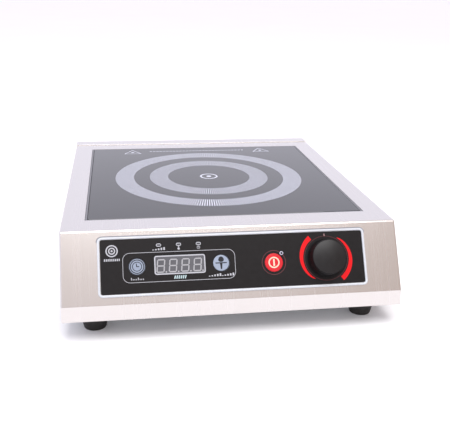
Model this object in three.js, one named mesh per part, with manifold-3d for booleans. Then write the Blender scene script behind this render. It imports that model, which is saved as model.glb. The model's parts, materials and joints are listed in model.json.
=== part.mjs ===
// Countertop induction hob: folded stainless case, glass-ceramic plate, slanted control panel,
// induction coil, power electronics and cooling fan. Millimetres, +Z up, the front faces -Y.
import * as THREE from "three";
import { mergeVertices } from "three/addons/utils/BufferGeometryUtils.js";
import Module from "manifold-3d";

const wasm = await Module();
wasm.setup();

// ---- Driving dimensions -------------------------------------------------------------------
const GAP = 0.3; // air left between neighbouring pieces
const SHEET = 1; // stainless sheet thickness

// Case. While building, Y is 0 at the front edge of the top and Z is 0 at the worktop.
const CASE_W = 330;
const CASE_TOP = 99;
const CASE_BOTTOM = 22.5;
const TOP_DEPTH = 359.5; // front edge of the top to the rear wall
const FOLD_OUT = 34.5; // how far the fold under the panel stands forward
const FOLD_Z = 37.5; // height of that fold
const FRONT_OUT = 36; // how far the bottom front edge stands forward
const TOP_BEND_R = 3;
const FOLD_R = 2;
const REAR_FLANGE = 21.5; // width of the rear panel's top flange
const REAR_RISE = 0.8; // step from the top up to that flange

// Glass
const GLASS = 280;
const GLASS_T = 4;
const GLASS_OPENING = 285;
const GLASS_CENTRE_Y = 171.2;
const LEDGE = 8; // width of the ledge that carries the glass
const LEDGE_DROP = 5; // depth of the ledge's upper side below the top

// Control panel, in the slanted face's own frame: x to the right, y up the slope, z outwards
const BEZEL_W = 261;
const BEZEL_H = 56.5;
const BEZEL_BAND = 2.3;
const BEZEL_T = 1.7;
const PANEL_R = 2.2;
const OVERLAY_T = 0.8;
const CUTOUT_W = 236;
const CUTOUT_H = 43;
const BOARD_W = 252;
const BOARD_H = 41;
const STUD = { x: 122, y: 15, r: 2 }; // studs inside the face that carry the control board
const DISPLAY = { x: -53.4, y: 0, w: 48.7, h: 17.9 };
const KEYS = [
  { name: "timer", x: -93.9, y: -0.6, r: 8 },
  { name: "function", x: -13.6, y: -0.5, r: 8.1 },
  { name: "on_off", x: 37.6, y: -2.4, r: 8.9 },
];
const INDICATORS = [
  { name: "power", x: -73, y: 19.2, w: 5.1, h: 3 },
  { name: "celsius", x: -54, y: 19.2, w: 5.1, h: 3 },
  { name: "minutes", x: -35, y: 19.2, w: 5.1, h: 3 },
  { name: "standby", x: 45.6, y: 6.4, w: 3.8, h: 3.8 },
];
const KNOB = { x: 90.1, y: -0.3, baseR: 18.8, topR: 16.5, top: 15 };
const BOARD_Z = -12; // control board's rear side behind the face
const BOARD_T = 1.6;
const KEY_TRAVEL = 0.5;
const SHAFT_R = 3;

// Feet
const FOOT = { x: 135.6, frontY: -2.5, rearY: 326, bottomR: 10.8, topR: 14.6 };

// Coil stack, hung under the glass
const COIL = { outerR: 110, innerR: 26, thickness: 5.4 };
const MICA_R = 118;
const MICA_T = 0.5;
const CARRIER = { rim: 3, thickness: 4, armW: 16 };
const CENTRE_HOLE_R = 9;
const FERRITE = { length: 80, width: 15, thickness: 5, count: 6, startR: 26 };
const POST_OFFSET = 105;

// Fan
const FAN = { x: -50, y: 100, size: 92, depth: 25, boreR: 44, tipR: 42.5, hubR: 17, blades: 7 };

// Power board
const MAIN_BOARD = { x: 0, y: 245, w: 190, d: 160, z: 30 };

// Cable inlet in the rear panel
const GLAND = { x: -110, z: 50, boreR: 5.2, bodyR: 8, flangeR: 12.5 };

// ---- Geometry helpers ---------------------------------------------------------------------
// A closed three.js geometry as a solid that can be joined and cut.
function solid(geometry) {
  const bare = geometry.clone();
  bare.deleteAttribute("normal");
  bare.deleteAttribute("uv");
  const merged = mergeVertices(bare, 1e-4);
  return new wasm.Manifold(
    new wasm.Mesh({
      numProp: 3,
      vertProperties: merged.attributes.position.array,
      triVerts: new Uint32Array(merged.index.array),
    }),
  );
}

// The solid's surface as a three.js geometry.
function geometryOf(made) {
  const mesh = made.getMesh();
  const geometry = new THREE.BufferGeometry();
  geometry.setAttribute("position", new THREE.BufferAttribute(mesh.vertProperties, mesh.numProp));
  geometry.setIndex(new THREE.BufferAttribute(mesh.triVerts, 1));
  const flat = geometry.toNonIndexed();
  flat.computeVertexNormals();
  return flat;
}

const join = (first, ...others) => others.reduce((sum, other) => sum.add(other), first);
const cut = (first, ...others) => others.reduce((rest, other) => rest.subtract(other), first);

// A block centred on x, y and reaching from z0 to z1.
function block(w, d, x, y, z0, z1) {
  return solid(new THREE.BoxGeometry(w, d, z1 - z0).translate(x, y, (z0 + z1) / 2));
}

// An upright cylinder from z0 to z1.
function rod(r, x, y, z0, z1, sides = 24) {
  const cylinder = new THREE.CylinderGeometry(r, r, z1 - z0, sides);
  return solid(cylinder.rotateX(Math.PI / 2).translate(x, y, (z0 + z1) / 2));
}

// A shape in x, y pushed up from z0 to z1.
function plate(shape, z0, z1, curveSegments = 4) {
  const settings = { depth: z1 - z0, bevelEnabled: false, curveSegments };
  return solid(new THREE.ExtrudeGeometry(shape, settings).translate(0, 0, z0));
}

// A profile of [radius, z] points turned round the Z axis.
function turned(profile, sides = 20) {
  const points = profile.map(([r, z]) => new THREE.Vector2(r, z));
  return solid(new THREE.LatheGeometry(points, sides).rotateX(Math.PI / 2));
}

function roundedRect(w, h, r, x = 0, y = 0) {
  const [left, right, low, high] = [x - w / 2, x + w / 2, y - h / 2, y + h / 2];
  const quarter = Math.PI / 2;
  return new THREE.Shape()
    .absarc(right - r, high - r, r, 0, quarter)
    .absarc(left + r, high - r, r, quarter, 2 * quarter)
    .absarc(left + r, low + r, r, 2 * quarter, 3 * quarter)
    .absarc(right - r, low + r, r, 3 * quarter, 4 * quarter);
}

function ringShape(outer, inner) {
  outer.holes.push(inner);
  return outer;
}

// A polygon whose corners [x, y, radius] are rounded by a curve where radius is over 0.
function roundedPolygon(corners) {
  const shape = new THREE.Shape();
  corners.forEach(([x, y, r], i) => {
    const corner = new THREE.Vector2(x, y);
    if (!r) {
      i ? shape.lineTo(x, y) : shape.moveTo(x, y);
      return;
    }
    const towards = (j) => {
      const [nx, ny] = corners[(j + corners.length) % corners.length];
      return new THREE.Vector2(nx, ny).sub(corner).setLength(r).add(corner);
    };
    const [enter, leave] = [towards(i - 1), towards(i + 1)];
    i ? shape.lineTo(enter.x, enter.y) : shape.moveTo(enter.x, enter.y);
    shape.quadraticCurveTo(x, y, leave.x, leave.y);
  });
  return shape;
}

// A side-view outline in (y, z) carried across the width, centred on x 0.
function across(shape, width, curveSegments = 3) {
  const settings = { depth: width, bevelEnabled: false, curveSegments };
  const turn = new THREE.Matrix4().makeBasis(
    new THREE.Vector3(0, 1, 0),
    new THREE.Vector3(0, 0, 1),
    new THREE.Vector3(1, 0, 0),
  );
  const geometry = new THREE.ExtrudeGeometry(shape, settings).translate(0, 0, -width / 2);
  return solid(geometry.applyMatrix4(turn));
}

// ---- Scene graph --------------------------------------------------------------------------
const hob = new THREE.Group();
const build = new THREE.Group(); // carries the building frame's offset to the part's origin
hob.add(build);

// The slanted face: its frame stands at the middle of the face, z outwards.
const SLOPE = Math.hypot(FOLD_OUT, CASE_TOP - FOLD_Z);
const TILT = Math.atan2(CASE_TOP - FOLD_Z, FOLD_OUT);
const face = new THREE.Group();
face.position.set(0, -FOLD_OUT / 2, (CASE_TOP + FOLD_Z) / 2);
face.rotation.x = TILT;
build.add(face);
face.updateMatrix();

const toCase = (made) => made.transform([...face.matrix.elements]);

const finish = {
  stainless: { color: 0xc9c4c2, roughness: 0.35, metalness: 1 },
  zinc: { color: 0xb4b6b8, roughness: 0.45, metalness: 1 },
  glassCeramic: { color: 0x101014, roughness: 0.06, metalness: 0 },
  silicone: { color: 0x2b2b2d, roughness: 0.6, metalness: 0 },
  bezel: { color: 0xdfe6ee, roughness: 0.25, metalness: 0 },
  overlay: { color: 0x0d0d0f, roughness: 0.3, metalness: 0 },
  smoked: { color: 0x6f7274, roughness: 0.2, metalness: 0 },
  clear: { color: 0xe9eceb, roughness: 0.2, metalness: 0 },
  greyKey: { color: 0x9fb2c4, roughness: 0.35, metalness: 0 },
  redKey: { color: 0xc4161c, roughness: 0.35, metalness: 0 },
  blackPlastic: { color: 0x17171a, roughness: 0.55, metalness: 0 },
  rubber: { color: 0x1a1a1c, roughness: 0.8, metalness: 0 },
  steel: { color: 0xa9acae, roughness: 0.3, metalness: 1 },
  copper: { color: 0xb5683c, roughness: 0.4, metalness: 1 },
  ferrite: { color: 0x3a3a3d, roughness: 0.7, metalness: 0 },
  mica: { color: 0xc8bfa6, roughness: 0.6, metalness: 0 },
  laminate: { color: 0x1f5b35, roughness: 0.5, metalness: 0 },
  aluminium: { color: 0xc3c6c9, roughness: 0.4, metalness: 1 },
  epoxy: { color: 0x1c1c1e, roughness: 0.45, metalness: 0 },
  film: { color: 0xd8b23a, roughness: 0.4, metalness: 0 },
  ceramicWhite: { color: 0xe8e6df, roughness: 0.4, metalness: 0 },
};

function piece(parent, name, made, look) {
  const mesh = new THREE.Mesh(geometryOf(made), new THREE.MeshStandardMaterial(look));
  mesh.name = name;
  parent.add(mesh);
}

// ---- Case ---------------------------------------------------------------------------------
const REAR_INNER = TOP_DEPTH - SHEET - GAP; // where the pieces inside the rear panel end
const SEAM_Y = TOP_DEPTH - REAR_FLANGE;
const FRONT_LEAN = (FRONT_OUT - FOLD_OUT) / (FOLD_Z - CASE_BOTTOM); // slope of the low front strip

// The offsets of a row of slots from the row's middle.
const slots = ({ count, pitch }) => Array.from({ length: count }, (_, i) => (i - (count - 1) / 2) * pitch);

const VENT_W = 3.5;
const SIDE_VENT = { count: 16, pitch: 8, height: 26, y: 268, z: 58 };
const REAR_VENT = { count: 10, pitch: 9, height: 34, z: 56, banks: [-30, 85] };

function topCover() {
  const skin = across(
    roundedPolygon([
      [-FRONT_OUT, CASE_BOTTOM, 0],
      [REAR_INNER, CASE_BOTTOM, 0],
      [REAR_INNER, CASE_TOP, 0],
      [0, CASE_TOP, TOP_BEND_R],
      [-FOLD_OUT, FOLD_Z, FOLD_R],
    ]),
    CASE_W,
  );
  // The hollow's corners lie on the skin's bisectors, one sheet thickness inside it.
  const topShift = SHEET * Math.tan(TILT / 2);
  const foldDrop = SHEET * Math.tan((Math.PI / 2 - TILT) / 2);
  const below = SHEET;
  const hollow = across(
    roundedPolygon([
      [-FRONT_OUT + SHEET - FRONT_LEAN * below, CASE_BOTTOM - below, 0],
      [TOP_DEPTH, CASE_BOTTOM - below, 0],
      [TOP_DEPTH, CASE_TOP - SHEET, 0],
      [topShift, CASE_TOP - SHEET, TOP_BEND_R - SHEET],
      [-FOLD_OUT + SHEET, FOLD_Z - foldDrop, FOLD_R - SHEET],
    ]),
    CASE_W - 2 * SHEET,
  );
  const rearStep = block(
    CASE_W + 2 * SHEET,
    REAR_FLANGE + 2 * SHEET,
    0,
    SEAM_Y + REAR_FLANGE / 2 + SHEET - GAP,
    CASE_TOP + REAR_RISE - SHEET - GAP,
    CASE_TOP + SHEET,
  );
  const inner = GLASS_OPENING;
  const outer = inner + 2 * SHEET;
  const well = block(outer, outer, 0, GLASS_CENTRE_Y, CASE_TOP - LEDGE_DROP - SHEET, CASE_TOP - SHEET / 2);
  const opening = block(inner, inner, 0, GLASS_CENTRE_Y, CASE_TOP - LEDGE_DROP, CASE_TOP + 1);
  const ledgeInner = inner - 2 * LEDGE;
  const throat = block(ledgeInner, ledgeInner, 0, GLASS_CENTRE_Y, CASE_TOP - 3 * LEDGE_DROP, CASE_TOP);
  const cutout = toCase(plate(roundedRect(CUTOUT_W, CUTOUT_H, PANEL_R), -3 * SHEET, SHEET));
  const vents = slots(SIDE_VENT).map((shift) => {
    const [z, half] = [SIDE_VENT.z, SIDE_VENT.height / 2];
    return block(CASE_W + 2 * SHEET, VENT_W, 0, SIDE_VENT.y + shift, z - half, z + half);
  });
  const studs = [-1, 1].flatMap((sx) =>
    [-1, 1].map((sy) => rod(STUD.r, sx * STUD.x, sy * STUD.y, BOARD_Z + BOARD_T + GAP, -SHEET / 2, 8)),
  );
  const shell = cut(skin, hollow);
  return cut(join(shell, well, toCase(join(...studs))), rearStep, opening, throat, cutout, ...vents);
}

function rearPanel() {
  const high = CASE_TOP + REAR_RISE;
  const wall = block(CASE_W, SHEET, 0, TOP_DEPTH - SHEET / 2, CASE_BOTTOM, high);
  const flange = block(CASE_W, REAR_FLANGE, 0, TOP_DEPTH - REAR_FLANGE / 2, high - SHEET, high);
  const vents = REAR_VENT.banks.flatMap((bank) =>
    slots(REAR_VENT).map((shift) => {
      const [z, half] = [REAR_VENT.z, REAR_VENT.height / 2];
      return block(VENT_W, 4 * SHEET, bank + shift, TOP_DEPTH - SHEET / 2, z - half, z + half);
    }),
  );
  const inlet = alongY(rod(GLAND.bodyR + GAP, 0, 0, -2 * SHEET, 2 * SHEET, 20), TOP_DEPTH);
  return cut(join(wall, flange), ...vents, inlet);
}

// A solid built on the Z axis, turned so that its +Z points to the rear at the cable inlet.
function alongY(made, y) {
  return made.rotate([-90, 0, 0]).translate([GLAND.x, y, GLAND.z]);
}

const PAN_WALL = 12;
const STANDOFF = { r: 3, inset: 6 };
const INTAKE = { count: 11, pitch: 7.4 };
const SCREW_R = 2;
const FEET = [
  ["front_left", -FOOT.x, FOOT.frontY],
  ["front_right", FOOT.x, FOOT.frontY],
  ["rear_left", -FOOT.x, FOOT.rearY],
  ["rear_right", FOOT.x, FOOT.rearY],
];

function basePan() {
  const frontY = -FRONT_OUT + SHEET + FRONT_LEAN * PAN_WALL + GAP;
  const w = CASE_W - 2 * SHEET - 2 * GAP;
  const d = REAR_INNER - frontY;
  const y = (REAR_INNER + frontY) / 2;
  const tray = block(w, d, 0, y, CASE_BOTTOM, CASE_BOTTOM + PAN_WALL);
  const hollow = block(w - 2 * SHEET, d - 2 * SHEET, 0, y, CASE_BOTTOM + SHEET, CASE_BOTTOM + PAN_WALL + 1);
  const standoffs = [-1, 1].flatMap((sx) =>
    [-1, 1].map((sy) =>
      rod(
        STANDOFF.r,
        MAIN_BOARD.x + sx * (MAIN_BOARD.w / 2 - STANDOFF.inset),
        MAIN_BOARD.y + sy * (MAIN_BOARD.d / 2 - STANDOFF.inset),
        CASE_BOTTOM + SHEET / 2,
        MAIN_BOARD.z - GAP,
        12,
      ),
    ),
  );
  const intake = slots(INTAKE).map((x) => {
    const reach = 2 * Math.sqrt((FAN.boreR - 1) ** 2 - x ** 2);
    return block(VENT_W, reach, FAN.x + x, FAN.y, CASE_BOTTOM - 1, CASE_BOTTOM + 2 * SHEET);
  });
  const screwHoles = FEET.map(([, fx, fy]) =>
    rod(SCREW_R + GAP, fx, fy, CASE_BOTTOM - 1, CASE_BOTTOM + 2 * SHEET, 12),
  );
  return cut(join(cut(tray, hollow), ...standoffs), ...intake, ...screwHoles);
}

piece(build, "top_cover", topCover(), finish.stainless);
piece(build, "rear_panel", rearPanel(), finish.stainless);
piece(build, "base_pan", basePan(), finish.zinc);

// ---- Feet and their screws ----------------------------------------------------------------
const FOOT_TOP = CASE_BOTTOM - GAP;
const RECESS = { r: 4.8, depth: 13 };
const SCREW_HEAD = { r: 3.8, height: 2.6 };
const SCREW_ABOVE = 6; // how far a foot's screw reaches above the pan's underside
const FOOT_EDGE = 0.8;

for (const [corner, x, y] of FEET) {
  const foot = turned([
    [RECESS.r, 0],
    [FOOT.bottomR - FOOT_EDGE, 0],
    [FOOT.bottomR, FOOT_EDGE],
    [FOOT.topR, FOOT_TOP],
    [SCREW_R + GAP, FOOT_TOP],
    [SCREW_R + GAP, RECESS.depth],
    [RECESS.r, RECESS.depth],
    [RECESS.r, 0],
  ]);
  piece(build, `foot_${corner}`, foot.translate([x, y, 0]), finish.rubber);
  const head = RECESS.depth - GAP - SCREW_HEAD.height;
  const screw = turned(
    [
      [0, head],
      [SCREW_HEAD.r, head],
      [SCREW_HEAD.r, head + SCREW_HEAD.height],
      [SCREW_R, head + SCREW_HEAD.height],
      [SCREW_R, CASE_BOTTOM + SCREW_ABOVE],
      [0, CASE_BOTTOM + SCREW_ABOVE],
    ],
    12,
  );
  piece(build, `foot_screw_${corner}`, screw.translate([x, y, 0]), finish.steel);
}

// ---- Glass and its seal -------------------------------------------------------------------
const GLASS_BOTTOM = CASE_TOP - GLASS_T;
const glass = plate(roundedRect(GLASS, GLASS, 2, 0, GLASS_CENTRE_Y), GLASS_BOTTOM, CASE_TOP);
piece(build, "glass_plate", glass, finish.glassCeramic);

const SEAL_BELOW = 0.2; // the seal's top under the glass's
const SEAL_BED = 5; // how far the seal's bed reaches under the glass

function glassSeal() {
  const outer = GLASS_OPENING - 2 * GAP;
  const bedInner = GLASS - 2 * SEAL_BED;
  const square = (side, z0, z1) => block(side, side, 0, GLASS_CENTRE_Y, z0, z1);
  const bedBottom = CASE_TOP - LEDGE_DROP + GAP;
  const full = square(outer, bedBottom, CASE_TOP - SEAL_BELOW);
  const room = square(GLASS + 2 * GAP, GLASS_BOTTOM - GAP, CASE_TOP + 1);
  return cut(full, room, square(bedInner, bedBottom - 1, CASE_TOP));
}
piece(build, "glass_seal", glassSeal(), finish.silicone);

// ---- Control panel ------------------------------------------------------------------------
const OVERLAY_TOP = GAP + OVERLAY_T;
const BOARD_FRONT = BOARD_Z + BOARD_T;
const BUSHING = { r: 4.6, top: 4 };
const PART_BASE = BOARD_FRONT + GAP; // lower end of what stands on the control board

const bezel = plate(
  ringShape(
    roundedRect(BEZEL_W, BEZEL_H, PANEL_R + BEZEL_BAND),
    roundedRect(BEZEL_W - 2 * BEZEL_BAND, BEZEL_H - 2 * BEZEL_BAND, PANEL_R),
  ),
  GAP,
  GAP + BEZEL_T,
);
piece(face, "panel_bezel", bezel, finish.bezel);

function overlay() {
  const inset = 2 * (BEZEL_BAND + GAP);
  const film = plate(roundedRect(BEZEL_W - inset, BEZEL_H - inset, PANEL_R - GAP), GAP, OVERLAY_TOP);
  const through = [0, OVERLAY_TOP + 1];
  const holes = [
    ...KEYS.map((key) => rod(key.r + GAP, key.x, key.y, ...through, 24)),
    plate(roundedRect(DISPLAY.w + 2 * GAP, DISPLAY.h + 2 * GAP, 2, DISPLAY.x, DISPLAY.y), ...through),
    ...INDICATORS.map((lamp) => plate(lampShape(lamp, GAP), ...through, 3)),
    rod(BUSHING.r + GAP, KNOB.x, KNOB.y, ...through),
  ];
  return cut(film, ...holes);
}

// A light window's outline, round where it is as wide as it is high.
function lampShape(lamp, grow) {
  const [w, h] = [lamp.w + 2 * grow, lamp.h + 2 * grow];
  const r = lamp.w === lamp.h ? w / 2 - 0.01 : 1;
  return roundedRect(w, h, r, lamp.x, lamp.y);
}
piece(face, "panel_overlay", overlay(), finish.overlay);

const windowShape = roundedRect(DISPLAY.w, DISPLAY.h, 1.8, DISPLAY.x, DISPLAY.y);
const WINDOW_BACK = -1.6;
piece(face, "display_window", plate(windowShape, WINDOW_BACK, OVERLAY_TOP), finish.smoked);
const [digitsW, digitsH] = [DISPLAY.w - 1, DISPLAY.h - 1];
const digits = block(digitsW, digitsH, DISPLAY.x, DISPLAY.y, PART_BASE, WINDOW_BACK - GAP);
piece(face, "segment_display", digits, finish.epoxy);
for (const lamp of INDICATORS) {
  const lens = plate(lampShape(lamp, 0), PART_BASE, OVERLAY_TOP, 3);
  piece(face, `indicator_${lamp.name}`, lens, finish.clear);
}

const SWITCH = { side: 6, height: 3.6, plungerR: 1.7, plungerHeight: 1 };
const SWITCH_TOP = PART_BASE + SWITCH.height + SWITCH.plungerHeight;
const KEY = { flange: 0.4, flangeTop: -0.1, flangeBottom: -1.5, proud: 0.4, stemR: 2 };
for (const key of KEYS) {
  const top = OVERLAY_TOP + KEY.proud;
  const stemEnd = SWITCH_TOP + KEY_TRAVEL + GAP;
  const profile = [
    [0, stemEnd],
    [KEY.stemR, stemEnd],
    [KEY.stemR, KEY.flangeBottom],
    [key.r + KEY.flange, KEY.flangeBottom],
    [key.r + KEY.flange, KEY.flangeTop],
    [key.r, KEY.flangeTop],
    [key.r, top - KEY.proud],
    [key.r - KEY.proud, top],
    [0, top],
  ];
  const look = key.name === "on_off" ? finish.redKey : finish.greyKey;
  piece(face, `key_${key.name}`, turned(profile, 24).translate([key.x, key.y, 0]), look);
  const body = block(SWITCH.side, SWITCH.side, key.x, key.y, PART_BASE, PART_BASE + SWITCH.height);
  const plunger = rod(SWITCH.plungerR, key.x, key.y, PART_BASE + 1, SWITCH_TOP, 12);
  piece(face, `switch_${key.name}`, join(body, plunger), finish.epoxy);
}

const board = plate(roundedRect(BOARD_W, BOARD_H, 2), BOARD_Z, BOARD_FRONT);
piece(face, "control_board", board, finish.laminate);

const ENCODER = { w: 13, d: 12.5, h: 6.5, bottom: 3 };
const SHAFT_BOTTOM = PART_BASE + ENCODER.bottom + 0.5;
const SHAFT_TOP = 12;
const encoderBody = cut(
  join(
    block(ENCODER.w, ENCODER.d, KNOB.x, KNOB.y, PART_BASE, PART_BASE + ENCODER.h),
    rod(BUSHING.r, KNOB.x, KNOB.y, PART_BASE + ENCODER.h - 1, BUSHING.top, 16),
  ),
  rod(SHAFT_R + GAP, KNOB.x, KNOB.y, PART_BASE + ENCODER.bottom, BUSHING.top + 1, 24),
);
piece(face, "encoder_body", encoderBody, finish.steel);
piece(face, "encoder_shaft", rod(SHAFT_R, KNOB.x, KNOB.y, SHAFT_BOTTOM, SHAFT_TOP, 24), finish.steel);

// The knob: a low skirt, a nearly straight grip, and a blind bore over the shaft.
const KNOB_BASE = OVERLAY_TOP + 0.5;
const RECESS_R = BUSHING.r + 3 * GAP; // the hollow under the knob that clears the bushing
const knob = turned(
  [
    [RECESS_R, KNOB_BASE],
    [KNOB.baseR, KNOB_BASE],
    [KNOB.baseR, KNOB_BASE + 1.2],
    [KNOB.topR + 0.9, KNOB_BASE + 3.4],
    [KNOB.topR + 0.3, KNOB.top - 1.4],
    [KNOB.topR - 1, KNOB.top],
    [0, KNOB.top],
    [0, SHAFT_TOP + GAP],
    [SHAFT_R + GAP, SHAFT_TOP + GAP],
    [SHAFT_R + GAP, BUSHING.top + 1.5],
    [RECESS_R, BUSHING.top + 1.5],
    [RECESS_R, KNOB_BASE],
  ],
  32,
);
piece(face, "knob", knob.translate([KNOB.x, KNOB.y, 0]), finish.blackPlastic);

// ---- Coil stack ---------------------------------------------------------------------------
const MICA_TOP = GLASS_BOTTOM - GAP;
const COIL_TOP = MICA_TOP - MICA_T - GAP;
const CARRIER_TOP = COIL_TOP - COIL.thickness - GAP;
const CARRIER_BOTTOM = CARRIER_TOP - CARRIER.thickness;
const FERRITE_TOP = CARRIER_BOTTOM - GAP;
const atCoil = (made) => made.translate([0, GLASS_CENTRE_Y, 0]);

const centreHole = rod(CENTRE_HOLE_R, 0, 0, CARRIER_BOTTOM - 1, GLASS_BOTTOM, 16);

const mica = cut(rod(MICA_R, 0, 0, MICA_TOP - MICA_T, MICA_TOP, 40), centreHole);
piece(build, "mica_sheet", atCoil(mica), finish.mica);

const winding = cut(
  rod(COIL.outerR, 0, 0, COIL_TOP - COIL.thickness, COIL_TOP, 48),
  rod(COIL.innerR, 0, 0, CARRIER_TOP, GLASS_BOTTOM, 32),
);
piece(build, "coil_winding", atCoil(winding), finish.copper);

function coilCarrier() {
  const disc = rod(COIL.outerR + CARRIER.rim, 0, 0, CARRIER_BOTTOM, CARRIER_TOP, 40);
  const span = 2 * POST_OFFSET * Math.SQRT2 + CARRIER.armW;
  const arms = [45, 135].map((degrees) =>
    block(span, CARRIER.armW, 0, 0, CARRIER_BOTTOM, CARRIER_TOP).rotate([0, 0, degrees]),
  );
  return cut(join(disc, ...arms), centreHole);
}
piece(build, "coil_carrier", atCoil(coilCarrier()), finish.blackPlastic);

for (let i = 0; i < FERRITE.count; i++) {
  const bar = block(
    FERRITE.length,
    FERRITE.width,
    FERRITE.startR + FERRITE.length / 2,
    0,
    FERRITE_TOP - FERRITE.thickness,
    FERRITE_TOP,
  );
  piece(build, `ferrite_bar_${i + 1}`, atCoil(bar.rotate([0, 0, (360 / FERRITE.count) * i])), finish.ferrite);
}

const SENSOR = { stemR: 4, padR: 6.5, padT: 2, below: 6 };
const sensor = turned(
  [
    [0, CARRIER_BOTTOM - SENSOR.below],
    [SENSOR.stemR, CARRIER_BOTTOM - SENSOR.below],
    [SENSOR.stemR, MICA_TOP - SENSOR.padT],
    [SENSOR.padR, MICA_TOP - SENSOR.padT],
    [SENSOR.padR, MICA_TOP],
    [0, MICA_TOP],
  ],
  16,
);
piece(build, "glass_sensor", atCoil(sensor), finish.ceramicWhite);

const PAN_TOP = CASE_BOTTOM + SHEET + GAP; // what stands on the base pan starts here
const POST_R = 4;
[
  [-1, -1],
  [1, -1],
  [-1, 1],
  [1, 1],
].forEach(([sx, sy], i) => {
  const [x, y] = [sx * POST_OFFSET, GLASS_CENTRE_Y + sy * POST_OFFSET];
  const post = rod(POST_R, x, y, PAN_TOP, CARRIER_BOTTOM - GAP, 12);
  piece(build, `coil_post_${i + 1}`, post, finish.zinc);
});

// ---- Fan ----------------------------------------------------------------------------------
const FAN_TOP = PAN_TOP + FAN.depth;
const STRUT = { w: 4, h: 3 };
const FAN_SCREW = { r: 2.2, inset: 5 };
const BLADE = { t: 1.6, chord: 19, pitch: 50, root: 4 };
const IMPELLER = { bottom: PAN_TOP + 4, top: PAN_TOP + 21 };

function fanFrame() {
  const body = plate(roundedRect(FAN.size, FAN.size, 4), PAN_TOP, FAN_TOP);
  const bore = rod(FAN.boreR, 0, 0, PAN_TOP - 1, FAN_TOP + 1, 40);
  const hub = rod(FAN.hubR, 0, 0, PAN_TOP, PAN_TOP + STRUT.h, 24);
  const struts = [0, 60, 120].map((degrees) =>
    block(2 * FAN.boreR + 2, STRUT.w, 0, 0, PAN_TOP, PAN_TOP + STRUT.h).rotate([0, 0, degrees]),
  );
  const corner = FAN.size / 2 - FAN_SCREW.inset;
  const holes = [-1, 1].flatMap((sx) =>
    [-1, 1].map((sy) => rod(FAN_SCREW.r, sx * corner, sy * corner, PAN_TOP - 1, FAN_TOP + 1, 8)),
  );
  return cut(join(cut(body, bore), hub, ...struts), ...holes).translate([FAN.x, FAN.y, 0]);
}
piece(build, "fan_frame", fanFrame(), finish.blackPlastic);

function fanImpeller() {
  const hub = rod(FAN.hubR, 0, 0, IMPELLER.bottom, IMPELLER.top, 24);
  const length = FAN.tipR - FAN.hubR + BLADE.root;
  const middle = FAN.tipR - length / 2;
  const blades = Array.from({ length: FAN.blades }, (_, i) =>
    block(length, BLADE.t, 0, 0, -BLADE.chord / 2, BLADE.chord / 2)
      .rotate([BLADE.pitch, 0, 0])
      .translate([middle, 0, (IMPELLER.bottom + IMPELLER.top) / 2])
      .rotate([0, 0, (360 / FAN.blades) * i]),
  );
  return join(hub, ...blades).translate([FAN.x, FAN.y, 0]);
}
piece(build, "fan_impeller", fanImpeller(), finish.blackPlastic);

// ---- Power electronics --------------------------------------------------------------------
const BOARD_TOP = MAIN_BOARD.z + BOARD_T;
const ON_BOARD = BOARD_TOP + GAP;
const boardShape = roundedRect(MAIN_BOARD.w, MAIN_BOARD.d, 2, MAIN_BOARD.x, MAIN_BOARD.y);
piece(build, "main_board", plate(boardShape, MAIN_BOARD.z, BOARD_TOP), finish.laminate);

const SINK = { x: -52, y: 238, w: 70, d: 110, h: 40, foot: 6, fins: 9, finT: 2 };
function heatsink() {
  const base = block(SINK.w, SINK.d, SINK.x, SINK.y, ON_BOARD, ON_BOARD + SINK.foot);
  const pitch = (SINK.w - SINK.finT) / (SINK.fins - 1);
  const fins = Array.from({ length: SINK.fins }, (_, i) =>
    block(
      SINK.finT,
      SINK.d,
      SINK.x - SINK.w / 2 + SINK.finT / 2 + i * pitch,
      SINK.y,
      ON_BOARD + SINK.foot - 1,
      ON_BOARD + SINK.h,
    ),
  );
  return join(base, ...fins);
}
piece(build, "heatsink", heatsink(), finish.aluminium);

// What stands on the power board beside the heatsink: [name, x, y, width, depth, height, look].
const COMPONENTS = [
  ["power_transistor", -12, 205, 5, 16, 21, finish.epoxy],
  ["bridge_rectifier", -12, 245, 5, 25, 22, finish.epoxy],
  ["dc_link_capacitor", 30, 205, 38, 26, 36, finish.film],
  ["resonance_capacitor", 30, 250, 42, 22, 34, finish.film],
  ["standby_transformer", 72, 195, 30, 28, 24, finish.film],
];
for (const [name, x, y, w, d, h, look] of COMPONENTS)
  piece(build, name, plate(roundedRect(w, d, 1.5, x, y), ON_BOARD, ON_BOARD + h, 2), look);

const CHOKE = { x: 35, y: 296, outerR: 17, innerR: 7, h: 16, edge: 2 };
const [chokeLow, chokeHigh] = [ON_BOARD, ON_BOARD + CHOKE.h];
const choke = turned(
  [
    [CHOKE.innerR, chokeLow + CHOKE.edge],
    [CHOKE.innerR + CHOKE.edge, chokeLow],
    [CHOKE.outerR - CHOKE.edge, chokeLow],
    [CHOKE.outerR, chokeLow + CHOKE.edge],
    [CHOKE.outerR, chokeHigh - CHOKE.edge],
    [CHOKE.outerR - CHOKE.edge, chokeHigh],
    [CHOKE.innerR + CHOKE.edge, chokeHigh],
    [CHOKE.innerR, chokeHigh - CHOKE.edge],
    [CHOKE.innerR, chokeLow + CHOKE.edge],
  ],
  24,
);
piece(build, "filter_choke", choke.translate([CHOKE.x, CHOKE.y, 0]), finish.copper);

const TERMINALS = { x: -62, y: 344, w: 44, d: 16, h: 18 };
const EARTH = { x: -20, y: 346 };
const terminals = block(TERMINALS.w, TERMINALS.d, TERMINALS.x, TERMINALS.y, PAN_TOP, PAN_TOP + TERMINALS.h);
piece(build, "terminal_block", terminals, finish.ceramicWhite);
const earthNut = rod(5, EARTH.x, EARTH.y, PAN_TOP, PAN_TOP + 3, 6);
const earthBolt = rod(2.5, EARTH.x, EARTH.y, PAN_TOP, PAN_TOP + 14, 12);
piece(build, "earth_stud", join(earthNut, earthBolt), finish.steel);

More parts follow.
